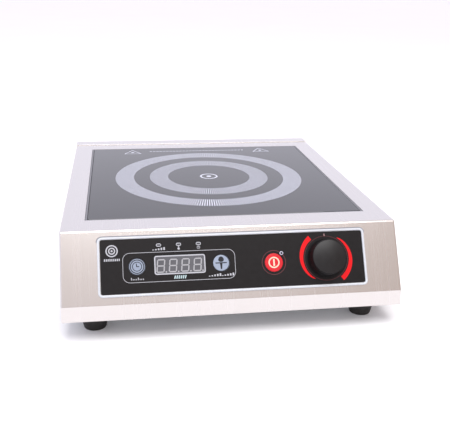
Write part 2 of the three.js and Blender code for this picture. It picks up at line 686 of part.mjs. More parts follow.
// ---- Cable inlet --------------------------------------------------------------------------
const INNER_END = -12; // where the inlet's threaded neck ends inside the case
const DOME = { foot: 4, shoulder: 5, neck: 11, top: 13 };
const gland = turned([
  [GLAND.boreR, INNER_END],
  [GLAND.bodyR, INNER_END],
  [GLAND.bodyR, GAP],
  [GLAND.flangeR, GAP],
  [GLAND.flangeR, DOME.foot],
  [GLAND.flangeR - 2.5, DOME.shoulder],
  [GLAND.flangeR - 3, DOME.neck],
  [GLAND.boreR + 1.5, DOME.top],
  [GLAND.boreR, DOME.top],
  [GLAND.boreR, INNER_END],
]);
piece(build, "cable_gland", alongY(gland, TOP_DEPTH), finish.blackPlastic);

const NUT = { r: 13, t: 5 };
const nutTop = -SHEET - GAP;
const nutBlank = rod(NUT.r, 0, 0, nutTop - NUT.t, nutTop, 6);
const nut = cut(nutBlank, rod(GLAND.bodyR + GAP, 0, 0, nutTop - 2 * NUT.t, 0, 20));
piece(build, "gland_nut", alongY(nut, TOP_DEPTH), finish.blackPlastic);

// ---- Origin: middle of the overall box, at the worktop ------------------------------------
hob.updateMatrixWorld(true);
const middle = new THREE.Box3().setFromObject(hob, true).getCenter(new THREE.Vector3());
build.position.set(-middle.x, -middle.y, 0);

export default hob;
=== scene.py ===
"""A countertop induction hob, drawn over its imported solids: run as a script in Blender 4.5."""

import json
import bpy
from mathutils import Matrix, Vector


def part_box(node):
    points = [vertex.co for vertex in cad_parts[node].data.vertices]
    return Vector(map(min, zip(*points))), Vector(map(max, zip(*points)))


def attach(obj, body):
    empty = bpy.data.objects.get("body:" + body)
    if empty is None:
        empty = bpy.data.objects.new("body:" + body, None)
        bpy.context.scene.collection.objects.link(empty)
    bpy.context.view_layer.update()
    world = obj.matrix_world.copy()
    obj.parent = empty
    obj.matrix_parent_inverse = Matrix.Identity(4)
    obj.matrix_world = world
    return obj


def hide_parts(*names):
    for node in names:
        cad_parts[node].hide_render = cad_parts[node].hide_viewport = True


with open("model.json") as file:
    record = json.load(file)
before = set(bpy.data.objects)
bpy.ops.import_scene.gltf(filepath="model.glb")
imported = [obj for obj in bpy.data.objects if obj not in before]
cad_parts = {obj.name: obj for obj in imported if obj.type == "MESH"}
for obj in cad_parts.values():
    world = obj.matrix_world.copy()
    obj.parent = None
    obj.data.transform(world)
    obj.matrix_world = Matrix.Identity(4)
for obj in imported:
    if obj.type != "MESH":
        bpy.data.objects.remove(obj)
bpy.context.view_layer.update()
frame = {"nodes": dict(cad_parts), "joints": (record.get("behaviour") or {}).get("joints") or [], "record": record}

from types import SimpleNamespace

import bmesh
import bpy
import numpy as np
from bpy.props import FloatProperty, FloatVectorProperty, IntProperty, PointerProperty
from mathutils import Matrix

bl_info = {
    "name": "Countertop Induction Hob",
    "version": (1, 0, 0),
    "blender": (4, 5, 0),
    "location": "3D View > Sidebar > Hob",
    "description": "Builds the visible pieces of a countertop induction hob over its solids",
    "category": "Object",
}

# Every shape is drawn in millimetres, and new_piece turns it to metres.
MM = 0.001
TURN = 2 * np.pi
MERGE = 1e-6  # points closer than this, in metres, are one point
GAP = 0.3  # the clearance between neighbouring sheets, and the guard beside each bend
SMOOTH_BELOW = 32  # edges that turn by more degrees than this look sharp
CUT_EDGE = 0.12  # the small round on every cut edge of sheet
CUT_CORNER = 50  # edges of sheet that turn by more degrees than this are cut edges


def box(name):
    """A solid's lowest and highest corner."""
    return [np.array(corner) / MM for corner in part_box(name)]


# ---- The solids' own sizes, which everything is placed by ---------------------------------
COVER_LOW, COVER_HIGH = box("top_cover")
REAR_LOW, REAR_HIGH = box("rear_panel")
GLASS_LOW, GLASS_HIGH = box("glass_plate")
GLASS_CENTRE = (GLASS_LOW + GLASS_HIGH) / 2
HALF_WIDTH = COVER_HIGH[0]
TOP_Z = COVER_HIGH[2]
INLET_X, INLET_Z, INLET_REACH = -110, 50, 8.3  # the cable inlet in the rear panel
SIDE_VENTS = (16, 8)  # how many slots there are on each side, and their pitch
REAR_VENTS = (10, 9)  # the same in each of the rear panel's banks
REAR_BANKS = (-30, 85)  # where the banks have their middles

# The sloping face: its upper edge is the front of the top, its lower edge the fold.
UPPER_EDGE = np.array([COVER_LOW[1] + 36, TOP_Z])
LOWER_EDGE = np.array([COVER_LOW[1] + 1.5, COVER_LOW[2] + 15])
SLOPE_LENGTH = np.linalg.norm(UPPER_EDGE - LOWER_EDGE)
SLOPE = (UPPER_EDGE - LOWER_EDGE) / SLOPE_LENGTH
FACE_CENTRE = np.array([0, *(UPPER_EDGE + LOWER_EDGE) / 2])
FACE_AXES = np.array([[1, 0, 0], [0, *SLOPE], [0, -SLOPE[1], SLOPE[0]]])
UPRIGHT = [[1, 0, 0], [0, 0, 1], [0, 1, 0]]  # lays a shape on the rear wall, its height outwards

# Heights above the sloping sheet. Where two strokes cross, one stands a little higher, so that
# no two faces share a plane.
FILM_TOP = 1.1
INK = (FILM_TOP - 0.03, FILM_TOP + 0.05)
OVER_INK = (INK[0], INK[1] + 0.01)
OVER_ALL = (INK[0], INK[1] + 0.02)
KEY_RISE = 0.41  # from a sign on the film to the same sign on a key

# Places on the sloping face: to the right of its middle, and up the slope.
TIMER_KEY = (-93.9, -0.6)
FUNCTION_KEY = (-14, -0.5)
ON_OFF_KEY = (37.6, -2.4)
STANDBY_LAMP = (45.6, 6.4)
KNOB = (90.1, -0.3)
LAMPS = {"power": -73, "celsius": -54, "minutes": -35}
LAMPS_UP = 19
DISPLAY_UP = -0.2


# ---- Shapes: each is (points, [arrays of faces]) ------------------------------------------
def once_round(steps):
    """Angles spread evenly over a full turn, without the last, which is the first again."""
    return np.linspace(0, TURN, steps, endpoint=False)


def combined(*values):
    """Points whose coordinates are the given values, each spread over the grid of them all."""
    return np.dstack(np.broadcast_arrays(*values))


def grid(points, wrap_rows=False, wrap_columns=False, keep=None):
    """A surface through rows and columns of points: one quad between each four neighbours.

    Wrapping joins the last row or column to the first, and keep says which quads stay.
    """
    rows, columns = points.shape[:2]
    index = np.arange(rows * columns).reshape(rows, columns)
    if wrap_rows:
        index = np.vstack([index, index[:1]])
    if wrap_columns:
        index = np.hstack([index, index[:, :1]])
    quads = np.stack([index[:-1, :-1], index[1:, :-1], index[1:, 1:], index[:-1, 1:]], axis=-1)
    quads = quads.reshape(-1, 4) if keep is None else quads[keep]
    return points.reshape(-1, 3), [quads]


def capped(shape, count):
    """A tube with both ends closed: one face over its first count points, one over its last."""
    points, faces = shape
    first = np.arange(count)[None, :]
    return points, faces + [first[:, ::-1], first + len(points) - count]


def joined(*shapes):
    """Several shapes as one: each shape's faces are numbered on from the points before it."""
    starts = np.cumsum([0] + [len(points) for points, _ in shapes])
    faces = [block + start for (_, blocks), start in zip(shapes, starts) for block in blocks]
    return np.concatenate([points for points, _ in shapes]), faces


def lathe(profile, steps=48, closed=False):
    """A profile of (radius, height) turned about the height axis: x = r cos a, y = r sin a."""
    angle = once_round(steps)
    radius, height = np.array(profile, float).T[:, :, None]
    points = combined(radius * np.cos(angle), radius * np.sin(angle), height)
    return grid(points, wrap_rows=closed, wrap_columns=True)


def rounded_edge(radius, top, bend, steps):
    """A quarter circle from a wall at a radius to a top: each point lies one bend from its centre."""
    turn = np.linspace(0, TURN / 4, steps)
    return zip(radius - bend + bend * np.cos(turn), top - bend + bend * np.sin(turn))


def rounded_rectangle(width, height, radius, inset=0.0, steps=6):
    """An outline made of four quarter circles, each about its own corner's centre."""
    half = np.array([width / 2 - inset, height / 2 - inset])
    bend = max(radius - inset, 0.1)
    angle = np.arange(4)[:, None] * TURN / 4 + np.linspace(0, TURN / 4, steps + 1)
    centres = np.array([[1, 1], [-1, 1], [-1, -1], [1, -1]]) * (half - bend)
    return (centres[:, None] + bend * np.stack([np.cos(angle), np.sin(angle)], -1)).reshape(-1, 2)


def stacked(outlines, heights, closed=False):
    """Outlines of one count set at heights and joined row to row, capped or closed on themselves."""
    rows = [np.column_stack([line, np.full(len(line), h)]) for line, h in zip(outlines, heights)]
    shape = grid(np.stack(rows), wrap_rows=closed, wrap_columns=True)
    return shape if closed else capped(shape, len(rows[0]))


def slab(width, height, radius, rows, closed=False):
    """A rounded rectangle carried through rows of (inset, height)."""
    outlines = [rounded_rectangle(width, height, radius, inset) for inset, _ in rows]
    return stacked(outlines, [level for _, level in rows], closed)


def strip(inner, outer, heights=INK, closed=False):
    """A thin solid between two flat paths of one count: its four corners run along them."""
    low, high = heights
    corners = [np.column_stack([path, np.full(len(path), level)])
               for path, level in ((inner, low), (outer, low), (outer, high), (inner, high))]
    shape = grid(np.stack(corners, axis=1), wrap_rows=closed, wrap_columns=True)
    return shape if closed else capped(shape, 4)


def arc_points(radius, angle):
    """Points at a radius, or at one radius per angle, about the origin."""
    return np.stack([radius * np.cos(angle), radius * np.sin(angle)], axis=-1)


def ring(inner, outer, heights=INK, steps=64):
    """A flat ring: a strip between two circles."""
    angle = once_round(steps)
    return strip(arc_points(inner, angle), arc_points(outer, angle), heights, closed=True)


def bar(start, end, width, heights=INK, end_width=None):
    """A straight bar from start to end: half its width is laid off at right angles each way."""
    ends = np.array([start, end], float)
    along = (ends[1] - ends[0]) / np.linalg.norm(ends[1] - ends[0])
    widths = np.array([[width], [end_width or width]]) * [-along[1] / 2, along[0] / 2]
    return strip(ends - widths, ends + widths, heights)


def row_of_bars(places, rises, width):
    """Upright bars side by side on one line, each of its own height."""
    return joined(*(bar((x, 0), (x, rise), width) for x, rise in zip(places, rises)))


def disc(radius, heights=INK, steps=48):
    """A flat disc: a square-cornered profile turned about its middle."""
    low, high = heights
    return lathe([(0, low), (radius, low), (radius, high), (0, high)], steps)


def outline_ring(width, height, radius, line, heights=INK):
    """A thin line that follows a rounded rectangle, inside it."""
    inner = rounded_rectangle(width, height, radius, line)
    return strip(inner, rounded_rectangle(width, height, radius), heights, closed=True)


def moved(shape, x=0.0, y=0.0, z=0.0):
    """A shape shifted as a whole."""
    return shape[0] + np.array([x, y, z]), shape[1]


def placed(shape, centre, axes):
    """A shape's x, y and height laid along three axes from a centre."""
    return np.asarray(centre) + shape[0] @ np.asarray(axes, float), shape[1]


def on_face(shape, x=0.0, up=0.0):
    """A shape laid on the sloping face: x to the right, y up the slope, height straight out."""
    return placed(moved(shape, x, up), FACE_CENTRE, FACE_AXES)


def repeated(shape, turns=(0,), shifts=((0, 0, 0),)):
    """Copies of a shape, each turned about the height axis by its angle and then shifted."""
    turns, shifts = np.array(turns, float), np.array(shifts, float)
    turns = np.broadcast_to(turns, max(len(turns), len(shifts)))
    cos, sin, zero = np.cos(turns), np.sin(turns), 0 * turns
    matrices = np.stack([cos, sin, zero, -sin, cos, zero, zero, zero, zero + 1], -1)
    points = shape[0] @ matrices.reshape(-1, 3, 3) + shifts[:, None, :]
    steps = np.arange(len(turns))[:, None, None] * len(shape[0])
    return points.reshape(-1, 3), [(block + steps).reshape(-1, block.shape[1]) for block in shape[1]]


def bent_path(corners, radii, stops, steps=8):
    """A path of straight runs joined by arcs, with extra points at stops along each run.

    At a corner the arc's centre lies on the bisector, so each arc starts radius times the
    tangent of half the turn before the corner. It gives the points, their outward normals and
    the length along the path.
    """
    corners = np.array(corners, float)
    runs = np.diff(corners, axis=0)
    lengths = np.linalg.norm(runs, axis=1)
    runs = runs / lengths[:, None]
    normals = np.stack([-runs[:, 1], runs[:, 0]], axis=-1)
    points, sides = [], []
    begin = 0.0
    for i, length in enumerate(lengths):
        turn = np.arccos(np.clip(runs[i] @ runs[i + 1], -1, 1)) if i + 1 < len(lengths) else 0.0
        reach = radii[i] * np.tan(turn / 2) if turn else 0.0
        marks = [begin, *stops[i], length - reach]
        marks += [begin + GAP] if i else []
        marks += [length - reach - GAP] if turn else []
        marks = np.unique(np.round(marks, 6))
        points.append(corners[i] + marks[:, None] * runs[i])
        sides.append(np.repeat(normals[i][None], len(marks), axis=0))
        if turn:
            centre = points[-1][-1] - normals[i] * radii[i]
            share = np.linspace(0, 1, steps + 1)[1:-1, None]
            ways = np.sin((1 - share) * turn) * normals[i] + np.sin(share * turn) * normals[i + 1]
            ways = ways / np.sin(turn)
            points.append(centre + radii[i] * ways)
            sides.append(ways)
        begin = reach
    points, sides = np.concatenate(points), np.concatenate(sides)
    along = np.concatenate([[0], np.cumsum(np.linalg.norm(np.diff(points, axis=0), axis=1))])
    return points, sides, along


def midway(values):
    """The middle of each gap between neighbours."""
    return (values[:-1] + values[1:]) / 2


def slot_edges(count, pitch, width, middle):
    """Both edges of each of a row of slots, in order."""
    centres = (np.arange(count) - (count - 1) / 2) * pitch + middle
    return np.sort(np.concatenate([centres - width / 2, centres + width / 2]))


def inside_slots(values, edges):
    """Whether each gap between values lies in a slot: an odd number of edges is behind it."""
    return np.searchsorted(edges, midway(values)) % 2 == 1


# ---- Materials ----------------------------------------------------------------------------
def linear(colour, alpha=1.0):
    """The linear colour of an sRGB hex value: over 12.92 in the darks, else the 2.4 power law."""
    shade = np.array([int(colour[i:i + 2], 16) for i in (1, 3, 5)]) / 255
    light = np.where(shade <= 0.04045, shade / 12.92, ((shade + 0.055) / 1.055) ** 2.4)
    return (*light.tolist(), alpha)


METAL = {"Metallic": 1.0}
BRUSH_STRETCH = 140  # how many times longer than wide a brush line is

# One row for each kind of surface, by its slot in the record where it has one: the material's
# name, light and dark colour, size of one grain in millimetres, lowest and highest roughness,
# height of the grain in millimetres, and the shader's other sockets.
FINISHES = {
    # Stainless sheet, belt-brushed front to back: long fine lines with a satin shine. Real brush
    # lines are about 0.1 mm apart; they are drawn 0.8 mm apart so that they show.
    "stainless": ("brushed_stainless_steel", "#d2cecc", "#d0ccc9", 0.8, (0.266, 0.276), 0.0001, METAL),
    # Hot-dip galvanised sheet: dull grey with frosty crystals about 6 mm across.
    "galvanised": ("hot_dip_galvanised_steel", "#b4b8bb", "#8d9296", 6, (0.38, 0.58), 0.01, METAL),
    # Cold-headed and bright zinc-plated steel: cool, slightly clouded metal.
    "plated_steel": ("bright_zinc_plated_steel", "#c9cdd2", "#aeb2b8", 1.5, (0.22, 0.36), 0, METAL),
    # Rolled and polished black glass ceramic: deep, hard and mirror-smooth.
    "glass_ceramic": ("black_glass_ceramic", "#1a1a1e", "#161619", 30, (0.015, 0.04), 0, {"IOR": 1.53}),
    # Ceramic ink, screen-printed on the glass and fired: pale grey, a little rough.
    "fired_ink": ("fired_ceramic_ink_grey", "#c6c9d6", "#bdc0cd", 0.5, (0.3, 0.42), 0.004, {}),
    # Silicone sealant, tooled smooth in the joint: mid grey and satin.
    "silicone_seal": ("tooled_silicone_grey", "#75757b", "#65656b", 2, (0.4, 0.55), 0.02, {}),
    # ABS, injection-moulded white with a cool cast: smooth gloss with a faint orange peel.
    "bezel": ("moulded_abs_cool_white", "#c6cbd1", "#bdc2c8", 2, (0.16, 0.24), 0.002, {}),
    # Polyester film, printed black from behind: a fine matt face that hides finger marks.
    "panel_overlay": ("printed_polyester_film_black", "#181617", "#131112", 0.6, (0.38, 0.5), 0.002,
                      {"Specular IOR Level": 0.2}),
    # Acrylic, cast and smoked grey: a glossy window with a little depth.
    "smoked_window": ("smoked_acrylic_grey", "#5b5c60", "#525358", 6, (0.12, 0.18), 0, {}),
    # Polycarbonate, moulded clear over a diffuser: glossy and slightly cloudy.
    "lamp_lens": ("moulded_polycarbonate_clear", "#4b4d52", "#404247", 1.5, (0.08, 0.16), 0, {}),
    # ABS key caps, moulded with a satin face: even colour and a soft shine.
    "key_grey": ("moulded_abs_blue_grey", "#8d99ab", "#848fa1", 1.2, (0.28, 0.4), 0.004, {}),
    "key_red": ("moulded_abs_signal_red", "#c80e1e", "#bd0c1b", 1.2, (0.28, 0.4), 0.004, {}),
    # Glass-filled nylon, moulded black with a spark-eroded texture: matt with a faint grain.
    "black_plastic": ("moulded_nylon_black", "#0d0c0e", "#090809", 0.5, (0.45, 0.6), 0.006,
                      {"Specular IOR Level": 0.2}),
    # ABS knob insert, moulded black and satin: it takes a soft shine from the light above.
    "knob_insert": ("moulded_abs_satin_black", "#151416", "#100f11", 0.5, (0.3, 0.36), 0.003,
                    {"Specular IOR Level": 0.4}),
    # Nitrile rubber, compression-moulded black: dull, with a fine bloom.
    "foot_rubber": ("moulded_nitrile_rubber_black", "#262322", "#191716", 1, (0.6, 0.8), 0.02, {}),
    # Enamelled copper litz: warm metal with a soft, slightly uneven shine.
    "copper": ("enamelled_copper_litz", "#b8693c", "#8c4a26", 0.8, (0.3, 0.45), 0.01, METAL),
    # Sintered ferrite: dull charcoal with a fine grit.
    "ferrite": ("sintered_ferrite", "#3c3b3d", "#29282a", 0.5, (0.5, 0.7), 0.01, {}),
    # Pressed mica sheet: pale straw, clouded in patches about 3 mm across.
    "mica": ("pressed_mica_sheet", "#cbbd9c", "#ad9d7b", 3, (0.35, 0.6), 0.01, {}),
    # Glass-epoxy board under a green solder mask: smooth and half glossy.
    "circuit_board": ("glass_epoxy_board_green", "#1f6a44", "#174f33", 1.2, (0.3, 0.42), 0.01, {}),
    # Extruded aluminium: pale metal with an even satin shine.
    "aluminium": ("extruded_aluminium", "#cfd1d3", "#b3b6b9", 1, (0.3, 0.45), 0.01, METAL),
    # Moulded epoxy: plain black and slightly rough.
    "epoxy": ("moulded_epoxy_black", "#252527", "#19191b", 0.6, (0.4, 0.6), 0.01, {}),
    # Resin, cast in a box: yellow with a soft shine.
    "film_capacitor": ("cast_resin_yellow", "#cda73d", "#b8922c", 1.5, (0.3, 0.45), 0.01, {}),
    # Steatite, pressed and fired without glaze: chalky white.
    "white_ceramic": ("pressed_steatite_white", "#e6e2da", "#d3cec4", 0.8, (0.5, 0.7), 0.01, {}),
    # Opal acrylic lit a little from beneath, as a product table is: white, with pale shadows.
    "floor": ("opal_acrylic_backlit", "#f7f7f8", "#f4f4f5", 300, (0.7, 0.8), 0,
              {"Emission Color": linear("#fdfcff"), "Emission Strength": 0.06}),
}
INKS = {
    # The grey of the thin line drawn above the panel frame's upper edge.
    "upper_line_grey": ("#8c8d92", "#828388"),
    "light_grey": ("#b3b5bb", "#aaacb2"),
    "segment_grey": ("#a2a3a6", "#97989b"),
    "lavender_white": ("#bdbccb", "#b1b0c0"),
    "black": ("#17151f", "#110f18"),
    "dark_slate": ("#24262d", "#1d1f25"),
    "cream": ("#e8cbb4", "#dfc0a8"),
    "pale_teal": ("#b3c8ca", "#a5bbbe"),
    "dull_red": ("#66373b", "#5b3034"),
    "pink": ("#b08c8e", "#a58284"),
    "red": ("#dc0713", "#d20510"),
}
# Screen ink on film: flat colour with a slightly dry face.
FINISHES.update({
    name: ("screen_ink_" + name, light, dark, 0.4, (0.4, 0.55), 0.003, {"Specular IOR Level": 0.25})
    for name, (light, dark) in INKS.items()
})


def add(tree, kind, inputs=None, **settings):
    """Adds a node with its settings, and sets or links each input that is named."""
    made = tree.nodes.new(kind)
    for key, value in settings.items():
        setattr(made, key, value)
    for key, value in (inputs or {}).items():
        if isinstance(value, bpy.types.NodeSocket):
            tree.links.new(value, made.inputs[key])
        else:
            made.inputs[key].default_value = value
    return made


def finish(kind):
    """The material of a kind of surface: colour, roughness and height follow one noise.

    The pattern lies in the object's own coordinates. On brushed sheet it lies along the sheet's
    grain instead, where each spot is drawn out into a long line.
    """
    name, light, dark, grain, rough, bump, sockets = FINISHES[kind]
    material = bpy.data.materials.get(name)
    if material:
        return material
    material = bpy.data.materials.new(name)
    material.use_nodes = True
    tree = material.node_tree
    tree.nodes.clear()
    scale = np.full(3, 1 / (grain * MM))
    if kind == "stainless":
        place = add(tree, "ShaderNodeUVMap", uv_map="grain").outputs["UV"]
        scale[1] /= BRUSH_STRETCH
    else:
        place = add(tree, "ShaderNodeTexCoord").outputs["Object"]
    spot = add(tree, "ShaderNodeMapping", {"Vector": place, "Scale": scale}).outputs[0]
    fine, cloud = (
        add(tree, "ShaderNodeTexNoise", {"Vector": spot, "Scale": size, "Detail": detail}).outputs[0]
        for size, detail in ((1.0, 4.0), (0.13, 2.0))
    )
    mixed = add(tree, "ShaderNodeMath", {0: fine, 1: cloud}, operation="ADD").outputs[0]
    level = add(tree, "ShaderNodeMapRange", {"Value": mixed, "From Min": 0.7, "From Max": 1.3}).outputs[0]
    shade = add(tree, "ShaderNodeMix", {"Factor": level, 6: linear(dark), 7: linear(light)},
                data_type="RGBA").outputs[2]
    gloss = add(tree, "ShaderNodeMapRange", {"Value": level, "To Min": rough[0], "To Max": rough[1]})
    inputs = {"Base Color": shade, "Roughness": gloss.outputs[0], **sockets}
    if bump:
        height = add(tree, "ShaderNodeBump", {"Height": fine, "Strength": 1.0, "Distance": bump * MM})
        inputs["Normal"] = height.outputs[0]
    shader = add(tree, "ShaderNodeBsdfPrincipled", inputs)
    add(tree, "ShaderNodeOutputMaterial", {"Surface": shader.outputs[0]})
    return material


# ---- Pieces -------------------------------------------------------------------------------
def linked(name, data):
    """An object made of some data and linked to the scene."""
    made = bpy.data.objects.new(name, data)
    bpy.context.scene.collection.objects.link(made)
    return made


def new_piece(name, shape, slot, paint=None, body="case", replaces=None, grain=None,
              sharp=SMOOTH_BELOW):
    """A shape made into a finished piece: doubles merged, faces turned out, smooth but for its
    corners. It has its slot's finish, or paint's, and grain is each point's place along the
    sheet's brush lines."""
    points, blocks = shape
    mesh = bpy.data.meshes.new(name)
    faces = [face for block in blocks for face in block.tolist()]
    mesh.from_pydata((points * MM).tolist(), [], faces)
    if grain is not None:
        corners = np.empty(len(mesh.loops), np.int32)
        mesh.loops.foreach_get("vertex_index", corners)
        mesh.uv_layers.new(name="grain").data.foreach_set("uv", (grain[corners] * MM).ravel())
    work = bmesh.new()
    work.from_mesh(mesh)
    bmesh.ops.remove_doubles(work, verts=work.verts, dist=MERGE)
    loose = [edge for edge in work.edges if not edge.link_faces]
    bmesh.ops.delete(work, geom=loose, context="EDGES")
    bmesh.ops.recalc_face_normals(work, faces=work.faces)
    work.to_mesh(mesh)
    work.free()
    mesh.shade_smooth()
    mesh.set_sharp_from_angle(angle=np.radians(sharp))
    mesh.materials.append(finish(paint or slot))
    piece = linked(name, mesh)
    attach(piece, body)
    if replaces:
        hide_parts(replaces)
    return piece


def give_thickness(piece, thickness):
    """Sheet metal: a wall of even thickness laid inwards from the outer skin, then a small round
    on every cut edge. The wall is made part of the mesh so that its own corners are found."""
    wall = piece.modifiers.new("Sheet", "SOLIDIFY")
    wall.thickness = thickness * MM
    wall.offset = -1.0
    wall.use_even_offset = True
    made = piece.evaluated_get(bpy.context.evaluated_depsgraph_get())
    solid = bpy.data.meshes.new_from_object(made)
    piece.modifiers.clear()
    piece.data = solid
    solid.set_sharp_from_angle(angle=np.radians(SMOOTH_BELOW))
    edges = piece.modifiers.new("Cut edges", "BEVEL")
    edges.width = CUT_EDGE * MM
    edges.segments = 2
    edges.limit_method = "ANGLE"
    edges.angle_limit = np.radians(CUT_CORNER)
    edges.harden_normals = True


def length(label, value, note):
    """A length that a user may change: given in millimetres and kept in metres."""
    return FloatProperty(name=label, description=note, default=value * MM, min=0.0, unit="LENGTH")


def colour(label, value, note):
    """A colour that a user may change, given as an sRGB hex value and kept linear."""
    return FloatVectorProperty(name=label, description=note, default=linear(value)[:3],
                               subtype="COLOR", size=3, min=0.0, max=4.0)


def keys_of(group):
    """The names of a group's own values."""
    return [key for key in group.bl_rna.properties.keys() if key not in ("rna_type", "name")]


def in_mm(group):
    """A group's values by name, with its lengths in millimetres."""
    rows = group.bl_rna.properties
    return SimpleNamespace(**{
        key: getattr(group, key) / MM if rows[key].unit == "LENGTH" else getattr(group, key)
        for key in keys_of(group)
    })


class CaseSizes(bpy.types.PropertyGroup):
    sheet: length("Sheet", 1, "Thickness of the stainless sheet")
    top_bend: length("Top bend", 3, "Outer radius of the bend along the top's front edge")
    fold_bend: length("Fold bend", 2, "Outer radius of the bend under the sloping face")
    side_bend: length("Side bend", 1.6, "Outer radius of the bends along both sides")
    rear_bend: length("Rear bend", 1.8, "Outer radius of the rear panel's top bend")
    glass_opening: length("Glass opening", 285, "Side of the square opening in the top")
    panel_width: length("Panel opening width", 236, "Width of the cut-out behind the film")
    panel_height: length("Panel opening height", 43, "Height of the cut-out behind the film")
    vent_width: length("Vent width", 3.5, "Width of one vent slot")
    side_vent_y: length("Side vents from the front", 100.781, "Middle of the side vents")
    vent_low: length("Side vent foot", 45, "Height of the lower end of the side vents")
    vent_high: length("Side vent head", 71, "Height of the upper end of the side vents")
    rear_low: length("Rear vent foot", 39, "Height of the lower end of the rear vents")
    rear_high: length("Rear vent head", 73, "Height of the upper end of the rear vents")


class GlassSizes(bpy.types.PropertyGroup):
    corner: length("Corner", 2, "Radius of the plate's corners")
    arris: length("Arris", 0.4, "Width of the ground edge")
    outer_ring: length("Outer ring", 110.9, "Outer radius of the large printed ring")
    outer_hole: length("Outer ring's hole", 89.3, "Inner radius of the large printed ring")
    inner_ring: length("Inner ring", 70.7, "Outer radius of the small printed ring")
    inner_hole: length("Inner ring's hole", 48.9, "Inner radius of the small printed ring")
    outer_spokes: IntProperty(name="Outer spokes", description="Radial lines in the large ring",
                              default=256, min=12)
    inner_spokes: IntProperty(name="Inner spokes", description="Radial lines in the small ring",
                              default=180, min=12)
    print_shift: length("Print shift", 1, "How far left of the middle the print lies")
    outer_share: FloatProperty(name="Outer ink share", description="Printed share of the large ring",
                               default=0.46, min=0.05, max=0.95, subtype="FACTOR")
    inner_share: FloatProperty(name="Inner ink share", description="Printed share of the small ring",
                               default=0.39, min=0.05, max=0.95, subtype="FACTOR")


class PanelSizes(bpy.types.PropertyGroup):
    width: length("Bezel width", 261, "Overall width of the moulded frame")
    height: length("Bezel height", 56.5, "Overall height of the moulded frame")
    corner: length("Bezel corner", 4.5, "Outer radius of the frame's corners")
    band: length("Bezel band", 2.3, "Width of the moulded frame")
    window_width: length("Window width", 48.7, "Width of the display window")
    window_height: length("Window height", 18.2, "Height of the display window")
    window_x: length("Window from the middle", 53.4, "How far left of the middle it sits")
    digit_width: length("Digit width", 7.8, "Width of one digit, without its slant")
    digit_height: length("Digit height", 12.8, "Height of one digit")
    digit_pitch: length("Digit pitch", 11.65, "From one digit to the next")
    stroke: length("Stroke", 1.15, "Width of one segment of a digit")


class KnobSizes(bpy.types.PropertyGroup):
    skirt: length("Skirt", 18.8, "Radius of the knob's skirt")
    grip: length("Grip", 16.9, "Radius of the knob's grip at the top")
    top: length("Top", 15, "Height of the knob's top above the sloping sheet")
    scale_circle: length("Scale circle", 21.7, "Radius of the thin circle round the knob")
    scale_inner: length("Scale band", 23, "Inner radius of the two growing bands")
    scale_growth: length("Scale growth", 4.8, "Width of a band at its thick end")


class StageLook(bpy.types.PropertyGroup):
    lens: FloatProperty(name="Lens", description="Focal length on a 36 mm sensor, in millimetres",
                        default=54.457, min=10.0)
    behind: colour("Light behind", "#f3f2ff", "Colour of the light from behind and above")
    before: colour("Light before", "#d3c9c8", "Colour of the light from the front")
    beside: colour("Light beside", "#bfafa7", "Colour of the light from the front right")
    strength: FloatProperty(name="Strength", description="Strength of the light all round",
                            default=1.3, min=0.0)


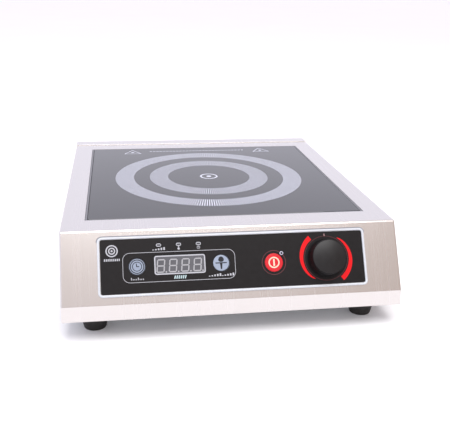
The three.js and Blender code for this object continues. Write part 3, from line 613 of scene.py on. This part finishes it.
class HOB_OT_cover(bpy.types.Operator):
    """Folds the stainless top cover: one sheet for the top, the sloping face and both sides"""

    bl_idname = "hob.cover"
    bl_label = "Top cover"

    def execute(self, context):
        sizes = in_mm(context.scene.hob_case)
        seam = REAR_LOW[1] - GAP
        opening = sizes.glass_opening / 2
        both = np.array([-1, 1])
        vents = slot_edges(*SIDE_VENTS, sizes.vent_width, sizes.side_vent_y)
        # Along the top from the seam forwards, down the sloping face and the low front strip.
        corners = [(-seam, TOP_Z), (-UPPER_EDGE[0], TOP_Z), (-LOWER_EDGE[0], LOWER_EDGE[1]),
                   (-COVER_LOW[1], COVER_LOW[2])]
        top_stops = seam - GLASS_CENTRE[1] + opening * both
        face_stops = (SLOPE_LENGTH + sizes.panel_height * both) / 2
        stops = [[*top_stops, *(seam - vents)[vents < seam]], face_stops, []]
        path, normals, along = bent_path(corners, [sizes.top_bend, sizes.fold_bend], stops)
        path, normals = path * [-1, 1], normals * [-1, 1]
        normals[-1] = (-1, 0)
        # Across the sheet: flat, then a quarter turn down at each side.
        bend = np.linspace(0, TURN / 4, 7)
        flat = HALF_WIDTH - sizes.side_bend
        half = np.concatenate([[sizes.panel_width / 2, opening, flat - GAP],
                               flat + sizes.side_bend * np.sin(bend)])
        sunk = np.concatenate([np.zeros(3), sizes.side_bend * (1 - np.cos(bend))])
        across = np.concatenate([-half[::-1], half])
        sunk = np.concatenate([sunk[::-1], sunk])
        skin = path[:, None, :] - normals[:, None, :] * sunk[None, :, None]
        points = combined(across, *np.moveaxis(skin, -1, 0))
        in_glass = np.abs(midway(along) - top_stops.mean()) < opening
        in_panel = np.abs(midway(path[:, 1]) - FACE_CENTRE[2]) < sizes.panel_height / 2 * SLOPE[1]
        columns = np.abs(midway(across))
        gone = in_glass[:, None] & (columns < opening)
        gone |= in_panel[:, None] & (columns < sizes.panel_width / 2)
        # A side wall hangs from the bend's lower edge; its columns follow the skin's own points.
        edge, low = skin[:, -1], COVER_LOW[2]
        full = edge[0, 1] - low
        marks = np.array([0, sizes.vent_low - low, sizes.vent_high - low, full - GAP, full]) / full
        heights = low + marks * (edge[:, 1:] - low)
        wall = combined(HALF_WIDTH, edge[:, :1], heights)
        vented = inside_slots(-edge[:, 0], -vents[::-1]) & (edge[:-1, 0] > UPPER_EDGE[0])
        wall_keep = ~(vented[:, None] & (np.arange(4) == 1))
        # Behind the seam the wall runs on under the rear panel's flange.
        back = np.sort([seam, COVER_HIGH[1], *vents[vents > seam]])[::-1]
        levels = np.append(heights[0], REAR_HIGH[2] - sizes.sheet - GAP)
        tail = combined(HALF_WIDTH, back[:, None], levels)
        tail_keep = ~(inside_slots(-back, -vents[::-1])[:, None] & (np.arange(5) == 1))
        sides = [grid(sheet * [side, 1, 1], keep=keep)
                 for sheet, keep in ((wall, wall_keep), (tail, tail_keep)) for side in both]
        grain = combined(across, along[:, None]).reshape(-1, 2)
        grain = np.concatenate([grain] + [points[:, [2, 1]] for points, _ in sides])
        cover = new_piece("stainless_cover", joined(grid(points, keep=~gone), *sides), "stainless",
                          replaces="top_cover", grain=grain)
        give_thickness(cover, sizes.sheet)
        return {"FINISHED"}


class HOB_OT_rear_panel(bpy.types.Operator):
    """Folds the rear panel: a wall with two banks of slots and a flange over the top's rear"""

    bl_idname = "hob.rear_panel"
    bl_label = "Rear panel"

    def execute(self, context):
        sizes = in_mm(context.scene.hob_case)
        # A small lip turns down at the seam, so that nothing is seen between the two sheets.
        flange = [(REAR_LOW[1], REAR_HIGH[2] - 1.7), (REAR_LOW[1], REAR_HIGH[2]),
                  (REAR_HIGH[1], REAR_HIGH[2]), (REAR_HIGH[1], REAR_LOW[2])]
        levels = [INLET_Z + INLET_REACH, INLET_Z - INLET_REACH, sizes.rear_high, sizes.rear_low]
        stops = [[], [], REAR_HIGH[2] - np.array(levels)]
        path, _, along = bent_path(flange, [0.6, sizes.rear_bend], stops)
        vents = np.concatenate([slot_edges(*REAR_VENTS, sizes.vent_width, x) for x in REAR_BANKS])
        inlet = (INLET_X - INLET_REACH, INLET_X + INLET_REACH)
        across = np.sort([-HALF_WIDTH, HALF_WIDTH, *inlet, *vents])
        points = combined(across, path[:, :1], path[:, 1:])
        y, z = midway(path).T
        on_wall = np.abs(y - REAR_HIGH[1]) < 0.01
        in_bank = on_wall & (z > sizes.rear_low) & (z < sizes.rear_high)
        in_inlet = on_wall & (np.abs(z - INLET_Z) < INLET_REACH)
        gone = in_bank[:, None] & inside_slots(across, vents)
        gone |= in_inlet[:, None] & (np.abs(midway(across) - INLET_X) < INLET_REACH)
        grain = combined(across, along[:, None]).reshape(-1, 2)
        panel = new_piece("stainless_rear_panel", grid(points, keep=~gone), "stainless",
                          replaces="rear_panel", grain=grain)
        give_thickness(panel, sizes.sheet)
        return {"FINISHED"}


class HOB_OT_glass(bpy.types.Operator):
    """Lays the glass plate with its ground edges"""

    bl_idname = "hob.glass"
    bl_label = "Glass plate"

    def execute(self, context):
        sizes = in_mm(context.scene.hob_glass)
        width, depth, _ = GLASS_HIGH - GLASS_LOW
        low, high, arris = GLASS_LOW[2], GLASS_HIGH[2], sizes.arris
        rows = [(arris, low), (0, low + arris), (0, high - arris), (arris, high), (2 * arris, high)]
        plate = moved(slab(width, depth, sizes.corner, rows), *GLASS_CENTRE[:2])
        new_piece("glass_hob_plate", plate, "glass_ceramic", replaces="glass_plate", sharp=25)
        return {"FINISHED"}


class HOB_OT_glass_print(bpy.types.Operator):
    """Prints the glass: two rings of radial lines, a plain centre mark and plain corner marks"""

    bl_idname = "hob.glass_print"
    bl_label = "Glass print"

    def execute(self, context):
        sizes = in_mm(context.scene.hob_glass)
        ink = (GLASS_HIGH[2] - 0.02, GLASS_HIGH[2] + 0.04)
        shapes = [ring(8.6, 10.6, ink), disc(3, ink)]
        for outer, hole, count, share in (
            (sizes.outer_ring, sizes.outer_hole, sizes.outer_spokes, sizes.outer_share),
            (sizes.inner_ring, sizes.inner_hole, sizes.inner_spokes, sizes.inner_share),
        ):
            # A spoke is as wide as its share of the circle at each end, so the tone stays even.
            narrow, wide = (TURN * radius / count * share for radius in (hole, outer))
            spoke = bar((hole, 0), (outer, 0), narrow, ink, wide)
            shapes.append(repeated(spoke, once_round(count)))
        # At the rear a triangle with a dot stands at each end of a dashed line.
        triangle = arc_points(13.5, TURN / 4 + once_round(3))
        mark = joined(strip(0.84 * triangle, triangle, ink, closed=True),
                      moved(disc(2.2, ink, 24), y=0.5))
        shapes.append(repeated(mark, shifts=[(-87.5, 121, 0), (87.5, 121, 0)]))
        dash = bar((-1.5, 0), (1.5, 0), 2, ink)
        shapes.append(repeated(dash, shifts=[(x, 125, 0) for x in np.arange(-63, 64, 4.5)]))
        drawn = moved(joined(*shapes), GLASS_CENTRE[0] - sizes.print_shift, GLASS_CENTRE[1])
        new_piece("glass_printed_rings", drawn, "glass_ceramic", "fired_ink")
        return {"FINISHED"}


class HOB_OT_panel(bpy.types.Operator):
    """Fits the control panel's rounded white frame"""

    bl_idname = "hob.panel"
    bl_label = "Control panel"

    def execute(self, context):
        sizes = in_mm(context.scene.hob_panel)
        outline = (sizes.width, sizes.height, sizes.corner)
        # The frame's section: straight skirts and a rounded crown.
        low, shoulder, rise, half = 0.3, 1.2, 0.8, sizes.band / 2
        angle = np.linspace(np.pi, 0, 9)
        crown = zip(half + half * np.cos(angle), shoulder + rise * np.sin(angle))
        section = [(0, low), *crown, (sizes.band, low)]
        new_piece("moulded_panel_frame", on_face(slab(*outline, section, closed=True)), "bezel",
                  replaces="panel_bezel", sharp=50)
        # A thin grey line drawn along the frame's upper edge and round its two upper corners, and not along its
        # lower edge.
        paths = [rounded_rectangle(*outline, -out)[:14] for out in (0.05, 1.1)]
        new_piece("panel_upper_grey_line", on_face(strip(*paths, (0.02, 0.5))), "bezel", "upper_line_grey")
        return {"FINISHED"}


def seven_segment(sizes, heights):
    """One slanted figure eight: seven bars with pointed ends, and a round point at its foot."""
    across, up, stroke = sizes.digit_width / 2, sizes.digit_height / 2, sizes.stroke
    left, top = across - stroke / 2, up - stroke / 2
    gap = 0.12
    ends = [((-left, y), (left, y)) for y in (-top, 0, top)]
    ends += [((x, y), (x, y + top)) for x in (-left, left) for y in (-top, 0)]
    bars = []
    for start, end in ends:
        start, end = np.array(start), np.array(end)
        along = (end - start) / np.linalg.norm(end - start)
        side = np.array([-along[1], along[0]]) * stroke / 2
        first, last = start + along * gap, end - along * gap
        tip = along * stroke / 2
        outline = np.array([first, first + tip - side, last - tip - side, last,
                            last - tip + side, first + tip + side])
        bars.append(stacked([outline, outline], heights))
    point = moved(disc(0.75, heights, 16), across + 1.6, -top)
    points, faces = joined(*bars, point)
    slant = np.array([[1, 0, 0], [0.1, 1, 0], [0, 0, 1]])
    return points @ slant, faces


class HOB_OT_display(bpy.types.Operator):
    """Fits the display: a smoked window with a pale frame and four seven-segment figures"""

    bl_idname = "hob.display"
    bl_label = "Display"

    def execute(self, context):
        sizes = in_mm(context.scene.hob_panel)
        width, height = sizes.window_width, sizes.window_height
        place = (-sizes.window_x, DISPLAY_UP)
        low, high = FILM_TOP - 2.7, FILM_TOP + 0.1
        rows = [(0, low), (0, high - 0.15), (0.15, high), (0.4, high)]
        new_piece("display_acrylic_window", on_face(slab(width, height, 2.3, rows), *place),
                  "smoked_window", replaces="display_window")
        line = outline_ring(width - 0.2, height - 0.2, 2.2, 1.1, (high - 0.03, high + 0.05))
        new_piece("display_pale_outline", on_face(line, *place), "panel_overlay", "light_grey")
        digit = seven_segment(sizes, (high - 0.03, high + 0.06))
        shifts = [(step * sizes.digit_pitch - 0.7, -0.75, 0) for step in (-1.5, -0.5, 0.5, 1.5)]
        new_piece("display_segments", on_face(repeated(digit, shifts=shifts), *place),
                  "panel_overlay", "segment_grey")
        return {"FINISHED"}


class HOB_OT_lamps(bpy.types.Operator):
    """Fits the three capsule lamps over the display and the round standby lamp by its key"""

    bl_idname = "hob.lamps"
    bl_label = "Lamps"

    def execute(self, context):
        low, high = -2, FILM_TOP + 0.25
        rows = [(0, low), (0, high - 0.4), (0.15, high - 0.15), (0.5, high), (0.9, high + 0.05)]
        lens = slab(4.3, 2.6, 1.25, rows)
        rim = outline_ring(4.8, 3, 1.45, 0.6, (INK[0], high + 0.1))
        for name, x in LAMPS.items():
            new_piece("lamp_lens_" + name, on_face(lens, x, LAMPS_UP), "lamp_lens",
                      replaces="indicator_" + name)
            new_piece("lamp_rim_" + name, on_face(rim, x, LAMPS_UP), "lamp_lens", "light_grey")
        dome = lathe([(0, low), (1.85, low), (1.85, high - 0.2), (1.5, high + 0.1),
                      (0.8, high + 0.2), (0, high + 0.22)], 32)
        new_piece("lamp_lens_standby", on_face(dome, *STANDBY_LAMP), "lamp_lens", "lavender_white",
                  replaces="indicator_standby")
        pupil = disc(1, (high + 0.15, high + 0.26), 24)
        new_piece("lamp_standby_eye", on_face(pupil, *STANDBY_LAMP), "panel_overlay", "black")
        return {"FINISHED"}


def key_cap(radius, opening):
    """A key: stem, hidden flange and a cap whose edge is rounded and whose top is flat."""
    flange = opening + 0.4
    top = FILM_TOP + 0.4
    profile = [(0, -3), (2, -3), (2, -1.5), (flange, -1.5), (flange, -0.1), (radius, -0.1),
               *rounded_edge(radius, top, 0.5, 5), (radius - 1, top), (0, top)]
    return lathe(profile, 64)


class HOB_OT_keys(bpy.types.Operator):
    """Fits the timer, function and on/off keys with their plain printed signs"""

    bl_idname = "hob.keys"
    bl_label = "Keys"

    def execute(self, context):
        clock = joined(ring(5.85, 6.7), ring(3.9, 4.6),
                       bar((-0.4, -0.4), (-0.6, 2.9), 0.85, OVER_INK),
                       bar((-0.8, 0), (2, 0), 0.85, OVER_ALL))
        angle = once_round(24)
        leaf_up = 3 + 2.6 * np.cos(angle) * (1 + 0.2 * np.cos(angle))
        leaf = np.column_stack([2.7 * np.sin(angle), leaf_up])
        flame = joined(stacked([leaf, leaf], INK), bar((-5.5, 0), (5.5, 0), 1, OVER_INK),
                       bar((0, -0.4), (0, -6), 2.4, end_width=1.2))
        power = joined(ring(4.2, 5.5), bar((0, -3.4), (0, 3.4), 1.6, OVER_ALL))
        # A dark collar stands in the film's opening where the cap is smaller than the opening.
        for name, place, radius, opening, sign, paint, slot in (
            ("timer", TIMER_KEY, 7.45, 8, clock, "dark_slate", "key_grey"),
            ("function", FUNCTION_KEY, 7.7, 8.1, flame, "dark_slate", "key_grey"),
            ("on_off", ON_OFF_KEY, 8.9, 8.9, power, "cream", "key_red"),
        ):
            body = name + "_key"
            cap = on_face(key_cap(radius, opening), *place)
            new_piece("key_cap_" + name, cap, slot, body=body, replaces="key_" + name)
            if opening > radius:
                collar = ring(radius + 0.02, opening, (-0.12, FILM_TOP - 0.1))
                new_piece("key_collar_" + name, on_face(collar, *place), slot, "panel_overlay", body)
            sign = on_face(moved(sign, z=KEY_RISE), *place)
            new_piece("key_sign_" + name, sign, slot, paint, body)
        return {"FINISHED"}


def crescent(sizes, start, end):
    """A band about the knob from angle start to end whose width grows as the square root."""
    share = np.linspace(0.0008, 1, 49)
    angle = np.radians(start + (end - start) * share)
    inner = arc_points(sizes.scale_inner, angle)
    return strip(inner, arc_points(sizes.scale_inner + sizes.scale_growth * share ** 0.5, angle))


class HOB_OT_panel_print(bpy.types.Operator):
    """Prints the film: the group outline, plain signs, the knob's circle and its red bands"""

    bl_idname = "hob.panel_print"
    bl_label = "Panel print"

    def execute(self, context):
        sizes = in_mm(context.scene.hob_knob)
        group = moved(outline_ring(107.1, 28.3, 6.6, 0.42), -53.75, -1.6)
        rising = row_of_bars(np.arange(-5.2, 5.3, 2.6), (0.7, 1.1, 1.6, 2.1, 2.6), 1.5)
        thermometer = joined(disc(1.1, steps=24), bar((0, 0.5), (0, 2.8), 0.9))
        small_clock = joined(ring(1.1, 1.5, steps=32), bar((0, -0.1), (0, 1), 0.35),
                             bar((-0.1, 0), (0.8, 0), 0.35))
        ticks = row_of_bars(np.arange(-5.6, 5.7, 1.6), (2.4, 1.2, 1.2, 1.2) * 2, 0.7)
        strokes = row_of_bars(np.arange(-6.8, 6.9, 1.7), [2.2] * 9, 1)
        emblem = joined(ring(4.6, 5.7), ring(2.2, 3.3), disc(1, steps=24), moved(strokes, y=-9.6))
        light = joined(group, *(moved(sign, x, up) for sign, x, up in (
            (rising, LAMPS["power"], 14.2), (thermometer, LAMPS["celsius"], 15),
            (small_clock, LAMPS["minutes"], 15.4), (ticks, TIMER_KEY[0], -13.3),
            (rising, -20.5, -13), (rising, -8, -13), (emblem, -117, 15),
        )))
        slants = joined(*(bar((x, -1.5), (x + 1, 1.5), 1.1) for x in np.arange(-5.5, 4.6, 2)))
        half_line = 0.17
        circle = ring(sizes.scale_circle - half_line, sizes.scale_circle + half_line, steps=96)
        dull = joined(moved(circle, *KNOB), moved(ring(11.4, 11.9, steps=72), *ON_OFF_KEY))
        tick = moved(bar((0, -1.2), (0, 1.2), 0.9), -0.2, 22.9)
        bands = joined(crescent(sizes, 238, 126), crescent(sizes, 58, -54))
        for name, paint, shape in (
            ("light", "light_grey", light), ("teal", "pale_teal", moved(slants, -53.6, -12.1)),
            ("dull_red", "dull_red", dull), ("pink", "pink", moved(tick, *KNOB)),
            ("red", "red", moved(bands, *KNOB)),
        ):
            new_piece("film_print_" + name, on_face(shape), "panel_overlay", paint)
        return {"FINISHED"}


class HOB_OT_knob(bpy.types.Operator):
    """Turns the rotary knob: a low skirt, a slightly tapered grip and a domed insert"""

    bl_idname = "hob.knob"
    bl_label = "Knob"

    def execute(self, context):
        sizes = in_mm(context.scene.hob_knob)
        grip, skirt, top = sizes.grip, sizes.skirt, sizes.top
        base, bore, bore_top = FILM_TOP + 0.5, 5.5, FILM_TOP + 4.5
        crown, bend = 1.4, 0.6
        # The insert is a shallow dome: it falls by the crown as the square of the radius.
        seat = grip - bend - 0.1
        out = np.linspace(seat, 0, 12)
        dome = np.column_stack([out, top - crown * (out / seat) ** 2])
        profile = [(bore, bore_top), (bore, base), (skirt - 0.3, base), (skirt, base + 0.3),
                   (skirt - 0.1, base + 1), (skirt - 0.7, base + 2), (grip + 1, base + 3),
                   (grip + 0.5, base + 4.4), *rounded_edge(grip, top - crown, bend, 6),
                   (0, top - crown - 0.1)]
        knob = joined(lathe(profile, 72), lathe([(0, bore_top), (bore, bore_top)], 72))
        new_piece("rotary_knob", on_face(knob, *KNOB), "black_plastic", body="knob", replaces="knob")
        floor = top - crown - 0.4
        insert = lathe([(0, floor), (seat, floor), *dome], 72)
        new_piece("rotary_knob_insert", on_face(insert, *KNOB), "black_plastic", "knob_insert", "knob")
        return {"FINISHED"}


class HOB_OT_feet(bpy.types.Operator):
    """Turns the four rubber feet, each with two grooves and a screw recess"""

    bl_idname = "hob.feet"
    bl_label = "Feet"

    def execute(self, context):
        foot = lathe([(0, 13), (4.8, 13), (4.8, 0.5), (5.3, 0), (9.9, 0), (10.6, 0.3), (11, 1.2),
                      (12.2, 6.6), (11.9, 6.9), (12, 7.5), (12.4, 7.8), (13.5, 13.6), (13.2, 13.9),
                      (13.3, 14.5), (13.7, 14.8), (14.5, 20.6), (14.6, 21.4), (14.4, 22), (14, 22.2),
                      (0, 22.2)])
        for corner in ("front_left", "front_right", "rear_left", "rear_right"):
            x, y, _ = sum(box("foot_" + corner)) / 2
            new_piece("rubber_foot_" + corner, moved(foot, x, y), "foot_rubber",
                      replaces="foot_" + corner)
        return {"FINISHED"}


def pan_head(radius):
    """A screw's domed head with a cross cut in it.

    Height is a spherical dome over the radius; where the point lies within the cross's arms,
    the height drops by the depth of the recess.
    """
    radii = radius * np.array([0, 0.16, 0.24, 0.42, 0.58, 0.64, 0.8, 0.93, 1, 1])[:, None]
    angle = once_round(32)
    x, y = radii * np.cos(angle), radii * np.sin(angle)
    dome = np.sqrt(np.clip(1 - (radii / radius) ** 2 * 0.75, 0, 1))
    height = 0.55 * radius * dome
    arm = (np.minimum(np.abs(x), np.abs(y)) < 0.14 * radius) & (np.hypot(x, y) < 0.61 * radius)
    height = np.where(arm, height - 0.35 * radius, height)
    height[-1] = -0.2 * radius
    return grid(combined(x, y, height), wrap_columns=True)


class HOB_OT_screws(bpy.types.Operator):
    """Sets the case screws in the rear panel, low on both sides and under the base"""

    bl_idname = "hob.screws"
    bl_label = "Case screws"

    def execute(self, context):
        head = pan_head(3.2)
        spots = [(x, 31, 0) for x in (-155, -62, 27, 155)] + [(x, 88, 0) for x in (-155, -52, 52, 155)]
        rear = repeated(head, np.linspace(0.2, 5, len(spots)), spots)
        row = repeated(head, [0.4, 1.1, 0.7], [(y, 29, 0) for y in (-150, 0, 150)])
        sides = [placed(row, (side * HALF_WIDTH, 0, 0), [[0, 1, 0], [0, 0, 1], [side, 0, 0]])
                 for side in (-1, 1)]
        spots = [(x, y, -COVER_LOW[2]) for x in (-95, 95) for y in (-185, 175)]
        base = repeated(head, [0.3, 0.9, 0.1, 1.3], spots)
        for name, shape in (
            ("rear", placed(rear, (0, REAR_HIGH[1], 0), UPRIGHT)),
            ("sides", joined(*sides)),
            ("base", placed(base, (0, 0, 0), [[1, 0, 0], [0, 1, 0], [0, 0, -1]])),
        ):
            new_piece("screws_" + name, shape, "plated_steel")
        return {"FINISHED"}


class HOB_OT_fan(bpy.types.Operator):
    """Makes the fan's rotor: seven twisted blades about a capped hub"""

    bl_idname = "hob.fan"
    bl_label = "Fan"

    def execute(self, context):
        low, high = box("fan_impeller")
        joint = next(row for row in frame["joints"] if row["name"] == "fan_spin")
        x, y, _ = np.array(joint["pos_m"]) / MM
        half = (high[2] - low[2]) / 2
        # A blade's section is a thin ellipse, carried out along the radius and turned as it goes.
        out = np.linspace(16, 41.5, 10)[:, None]
        pitch = np.radians(np.linspace(52, 30, 10))[:, None]
        section = once_round(16)
        chord = np.linspace(17, 23, 10)[:, None] / 2 * np.cos(section)
        thick = 0.8 * np.sin(section)
        sweep = chord * np.cos(pitch) - thick * np.sin(pitch)
        rise = np.clip(chord * np.sin(pitch) + thick * np.cos(pitch), -8.2, 8.2)
        angle = sweep / np.maximum(out, 20)
        blade = grid(combined(out * np.cos(angle), out * np.sin(angle), rise), wrap_columns=True)
        blades = repeated(capped(blade, len(section)), once_round(7))
        hub = lathe([(0, -half), (17, -half), (18, 1 - half), (18, half - 1.5), (16.5, half), (0, half)])
        new_piece("fan_rotor", moved(joined(blades, hub), x, y, low[2] + half), "black_plastic",
                  body="fan", replaces="fan_impeller")
        return {"FINISHED"}


class HOB_OT_coil(bpy.types.Operator):
    """Winds the coil: a flat spiral of litz cable"""

    bl_idname = "hob.coil"
    bl_label = "Coil"

    def execute(self, context):
        low, high = box("coil_winding")
        wire = (high[2] - low[2]) / 2
        inner, outer = 26 + wire, (high[0] - low[0]) / 2 - wire
        # The radius grows evenly with the angle, and a circle of cable is carried along it.
        turns = np.floor((outer - inner) / (2.05 * wire))
        angle = np.linspace(0, TURN * turns, int(turns) * 60)[:, None]
        radius = inner + (outer - inner) * angle / angle[-1]
        section = once_round(10)
        reach = radius + wire * 0.98 * np.cos(section)
        points = combined(reach * np.cos(angle), reach * np.sin(angle), wire * np.sin(section))
        cable = capped(grid(points, wrap_columns=True), len(section))
        cable = moved(cable, *(low + high) / 2)
        new_piece("litz_spiral", cable, "copper", replaces="coil_winding")
        return {"FINISHED"}


class HOB_OT_gland(bpy.types.Operator):
    """Screws in the cable gland: a flange, a ribbed dome nut and an open bore"""

    bl_idname = "hob.gland"
    bl_label = "Cable gland"

    def execute(self, context):
        x, _, z = sum(box("cable_gland")) / 2
        profile = [(5.2, -12), (8, -12), (8, 0), (12.2, 0), (12.5, 0.3), (12.5, 3.6), (12.1, 4),
                   (10.6, 4.4), (10.6, 5), (10.2, 10.4), (9.2, 11.8), (7.4, 12.6), (6.3, 12.6),
                   (5.2, 11.6)]
        points, faces = lathe(profile, 72, closed=True)
        # Grip ribs: the radius of the dome nut's wall swells a little twenty-four times round.
        across, up, height = points.T
        on_nut = (height > 4.9) & (height < 11) & (np.hypot(across, up) > 9)
        swell = 1 + 0.025 * on_nut * np.cos(24 * np.arctan2(up, across))
        points = np.column_stack([across * swell, up * swell, height])
        body = placed((points, faces), (x, REAR_HIGH[1] + GAP, z), UPRIGHT)
        new_piece("cable_gland_body", body, "black_plastic", replaces="cable_gland")
        return {"FINISHED"}


class HOB_OT_insides(bpy.types.Operator):
    """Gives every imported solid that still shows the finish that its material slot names"""

    bl_idname = "hob.insides"
    bl_label = "Solids shown as they are"

    def execute(self, context):
        slots = {row["node"]: row["material_slot"] for row in frame["record"]["subparts"]}
        for name, node in frame["nodes"].items():
            if node.hide_render:
                continue
            material = finish(slots[name])
            if not node.material_slots:
                node.data.materials.append(material)
            node.material_slots[0].material = material
        return {"FINISHED"}


class HOB_OT_stage(bpy.types.Operator):
    """Sets the pale floor, the soft light all round, a softbox overhead and the camera"""

    bl_idname = "hob.stage"
    bl_label = "Stage"

    def execute(self, context):
        look = context.scene.hob_stage
        scene = context.scene
        scene.view_settings.view_transform = "Standard"
        reach = np.linspace(-30, 30, 3)
        points, (faces,) = grid(np.dstack([*np.meshgrid(reach, reach), np.zeros((3, 3))]))
        mesh = bpy.data.meshes.new("floor")
        mesh.from_pydata(points.tolist(), [], faces[:, ::-1].tolist())
        mesh.materials.append(finish("floor"))
        floor = linked("floor", mesh)
        world = bpy.data.worlds.new("studio_light")
        scene.world = world
        world.use_nodes = True
        tree = world.node_tree
        tree.nodes.clear()
        way = add(tree, "ShaderNodeTexCoord").outputs["Generated"]
        # How far a direction points to the front right: the light fades and warms that way.
        side = add(tree, "ShaderNodeVectorMath", {0: way, 1: (0.8, -0.55, 0.25)},
                   operation="DOT_PRODUCT").outputs["Value"]
        tone = (*look.behind, 1.0)
        for shade, first, last in ((look.before, 0.0, 0.5), (look.beside, 0.76, 0.92)):
            share = add(tree, "ShaderNodeMapRange", {"Value": side, "From Min": first, "From Max": last})
            tone = add(tree, "ShaderNodeMix", {"Factor": share.outputs[0], 6: tone, 7: (*shade, 1.0)},
                       data_type="RGBA").outputs[2]
        sky = add(tree, "ShaderNodeBackground", {"Color": tone, "Strength": look.strength})
        add(tree, "ShaderNodeOutputWorld", {"Surface": sky.outputs[0]})
        lamp = bpy.data.lights.new("softbox_overhead", "AREA")
        lamp.size = 1.4
        lamp.energy = 30.0
        softbox = linked("softbox_overhead", lamp)
        softbox.location = (0.1, -0.9, 1.8)
        softbox.rotation_euler = (np.radians(24), 0, 0)
        # The camera is turned about the vertical, looks down by the dip and rolls a little.
        yaw, dip, roll = -0.16171, 0.33652, 0.0207
        back = np.array([np.sin(yaw) * np.cos(dip), -np.cos(yaw) * np.cos(dip), np.sin(dip)])
        level = np.array([np.cos(yaw), np.sin(yaw), 0])
        up = np.cross(back, level)
        right = np.cos(roll) * level + np.sin(roll) * up
        upright = np.cos(roll) * up - np.sin(roll) * level
        lens = bpy.data.cameras.new("camera")
        lens.lens = look.lens
        lens.sensor_width = 36
        lens.clip_start = 0.01
        camera = linked("camera", lens)
        turned = Matrix(np.column_stack([right, upright, back]).tolist()).to_4x4()
        camera.matrix_world = Matrix.Translation((-0.107762, -0.777166, 0.329474)) @ turned
        scene.camera = camera
        return {"FINISHED"}


OPERATORS = (
    HOB_OT_stage, HOB_OT_cover, HOB_OT_rear_panel, HOB_OT_glass, HOB_OT_glass_print, HOB_OT_panel,
    HOB_OT_display, HOB_OT_lamps, HOB_OT_keys, HOB_OT_panel_print, HOB_OT_knob, HOB_OT_feet,
    HOB_OT_screws, HOB_OT_fan, HOB_OT_coil, HOB_OT_gland, HOB_OT_insides,
)
GROUPS = {
    "hob_case": CaseSizes,
    "hob_glass": GlassSizes,
    "hob_panel": PanelSizes,
    "hob_knob": KnobSizes,
    "hob_stage": StageLook,
}


class HOB_PT_sidebar(bpy.types.Panel):
    """Lists the hob's pieces and their sizes"""

    bl_idname = "HOB_PT_sidebar"
    bl_label = "Induction Hob"
    bl_space_type = "VIEW_3D"
    bl_region_type = "UI"
    bl_category = "Hob"

    def draw(self, context):
        for operator in OPERATORS:
            self.layout.operator(operator.bl_idname)
        for name in GROUPS:
            group = getattr(context.scene, name)
            column = self.layout.box()
            for key in keys_of(group):
                column.prop(group, key)


def register():
    for made in (*GROUPS.values(), *OPERATORS, HOB_PT_sidebar):
        bpy.utils.register_class(made)
    for name, group in GROUPS.items():
        setattr(bpy.types.Scene, name, PointerProperty(type=group))


def unregister():
    for name in GROUPS:
        delattr(bpy.types.Scene, name)
    for made in reversed((*GROUPS.values(), *OPERATORS, HOB_PT_sidebar)):
        bpy.utils.unregister_class(made)


def main():
    register()
    for operator in OPERATORS:
        getattr(bpy.ops.hob, operator.bl_idname.split(".")[1])()


if __name__ == "__main__":
    main()
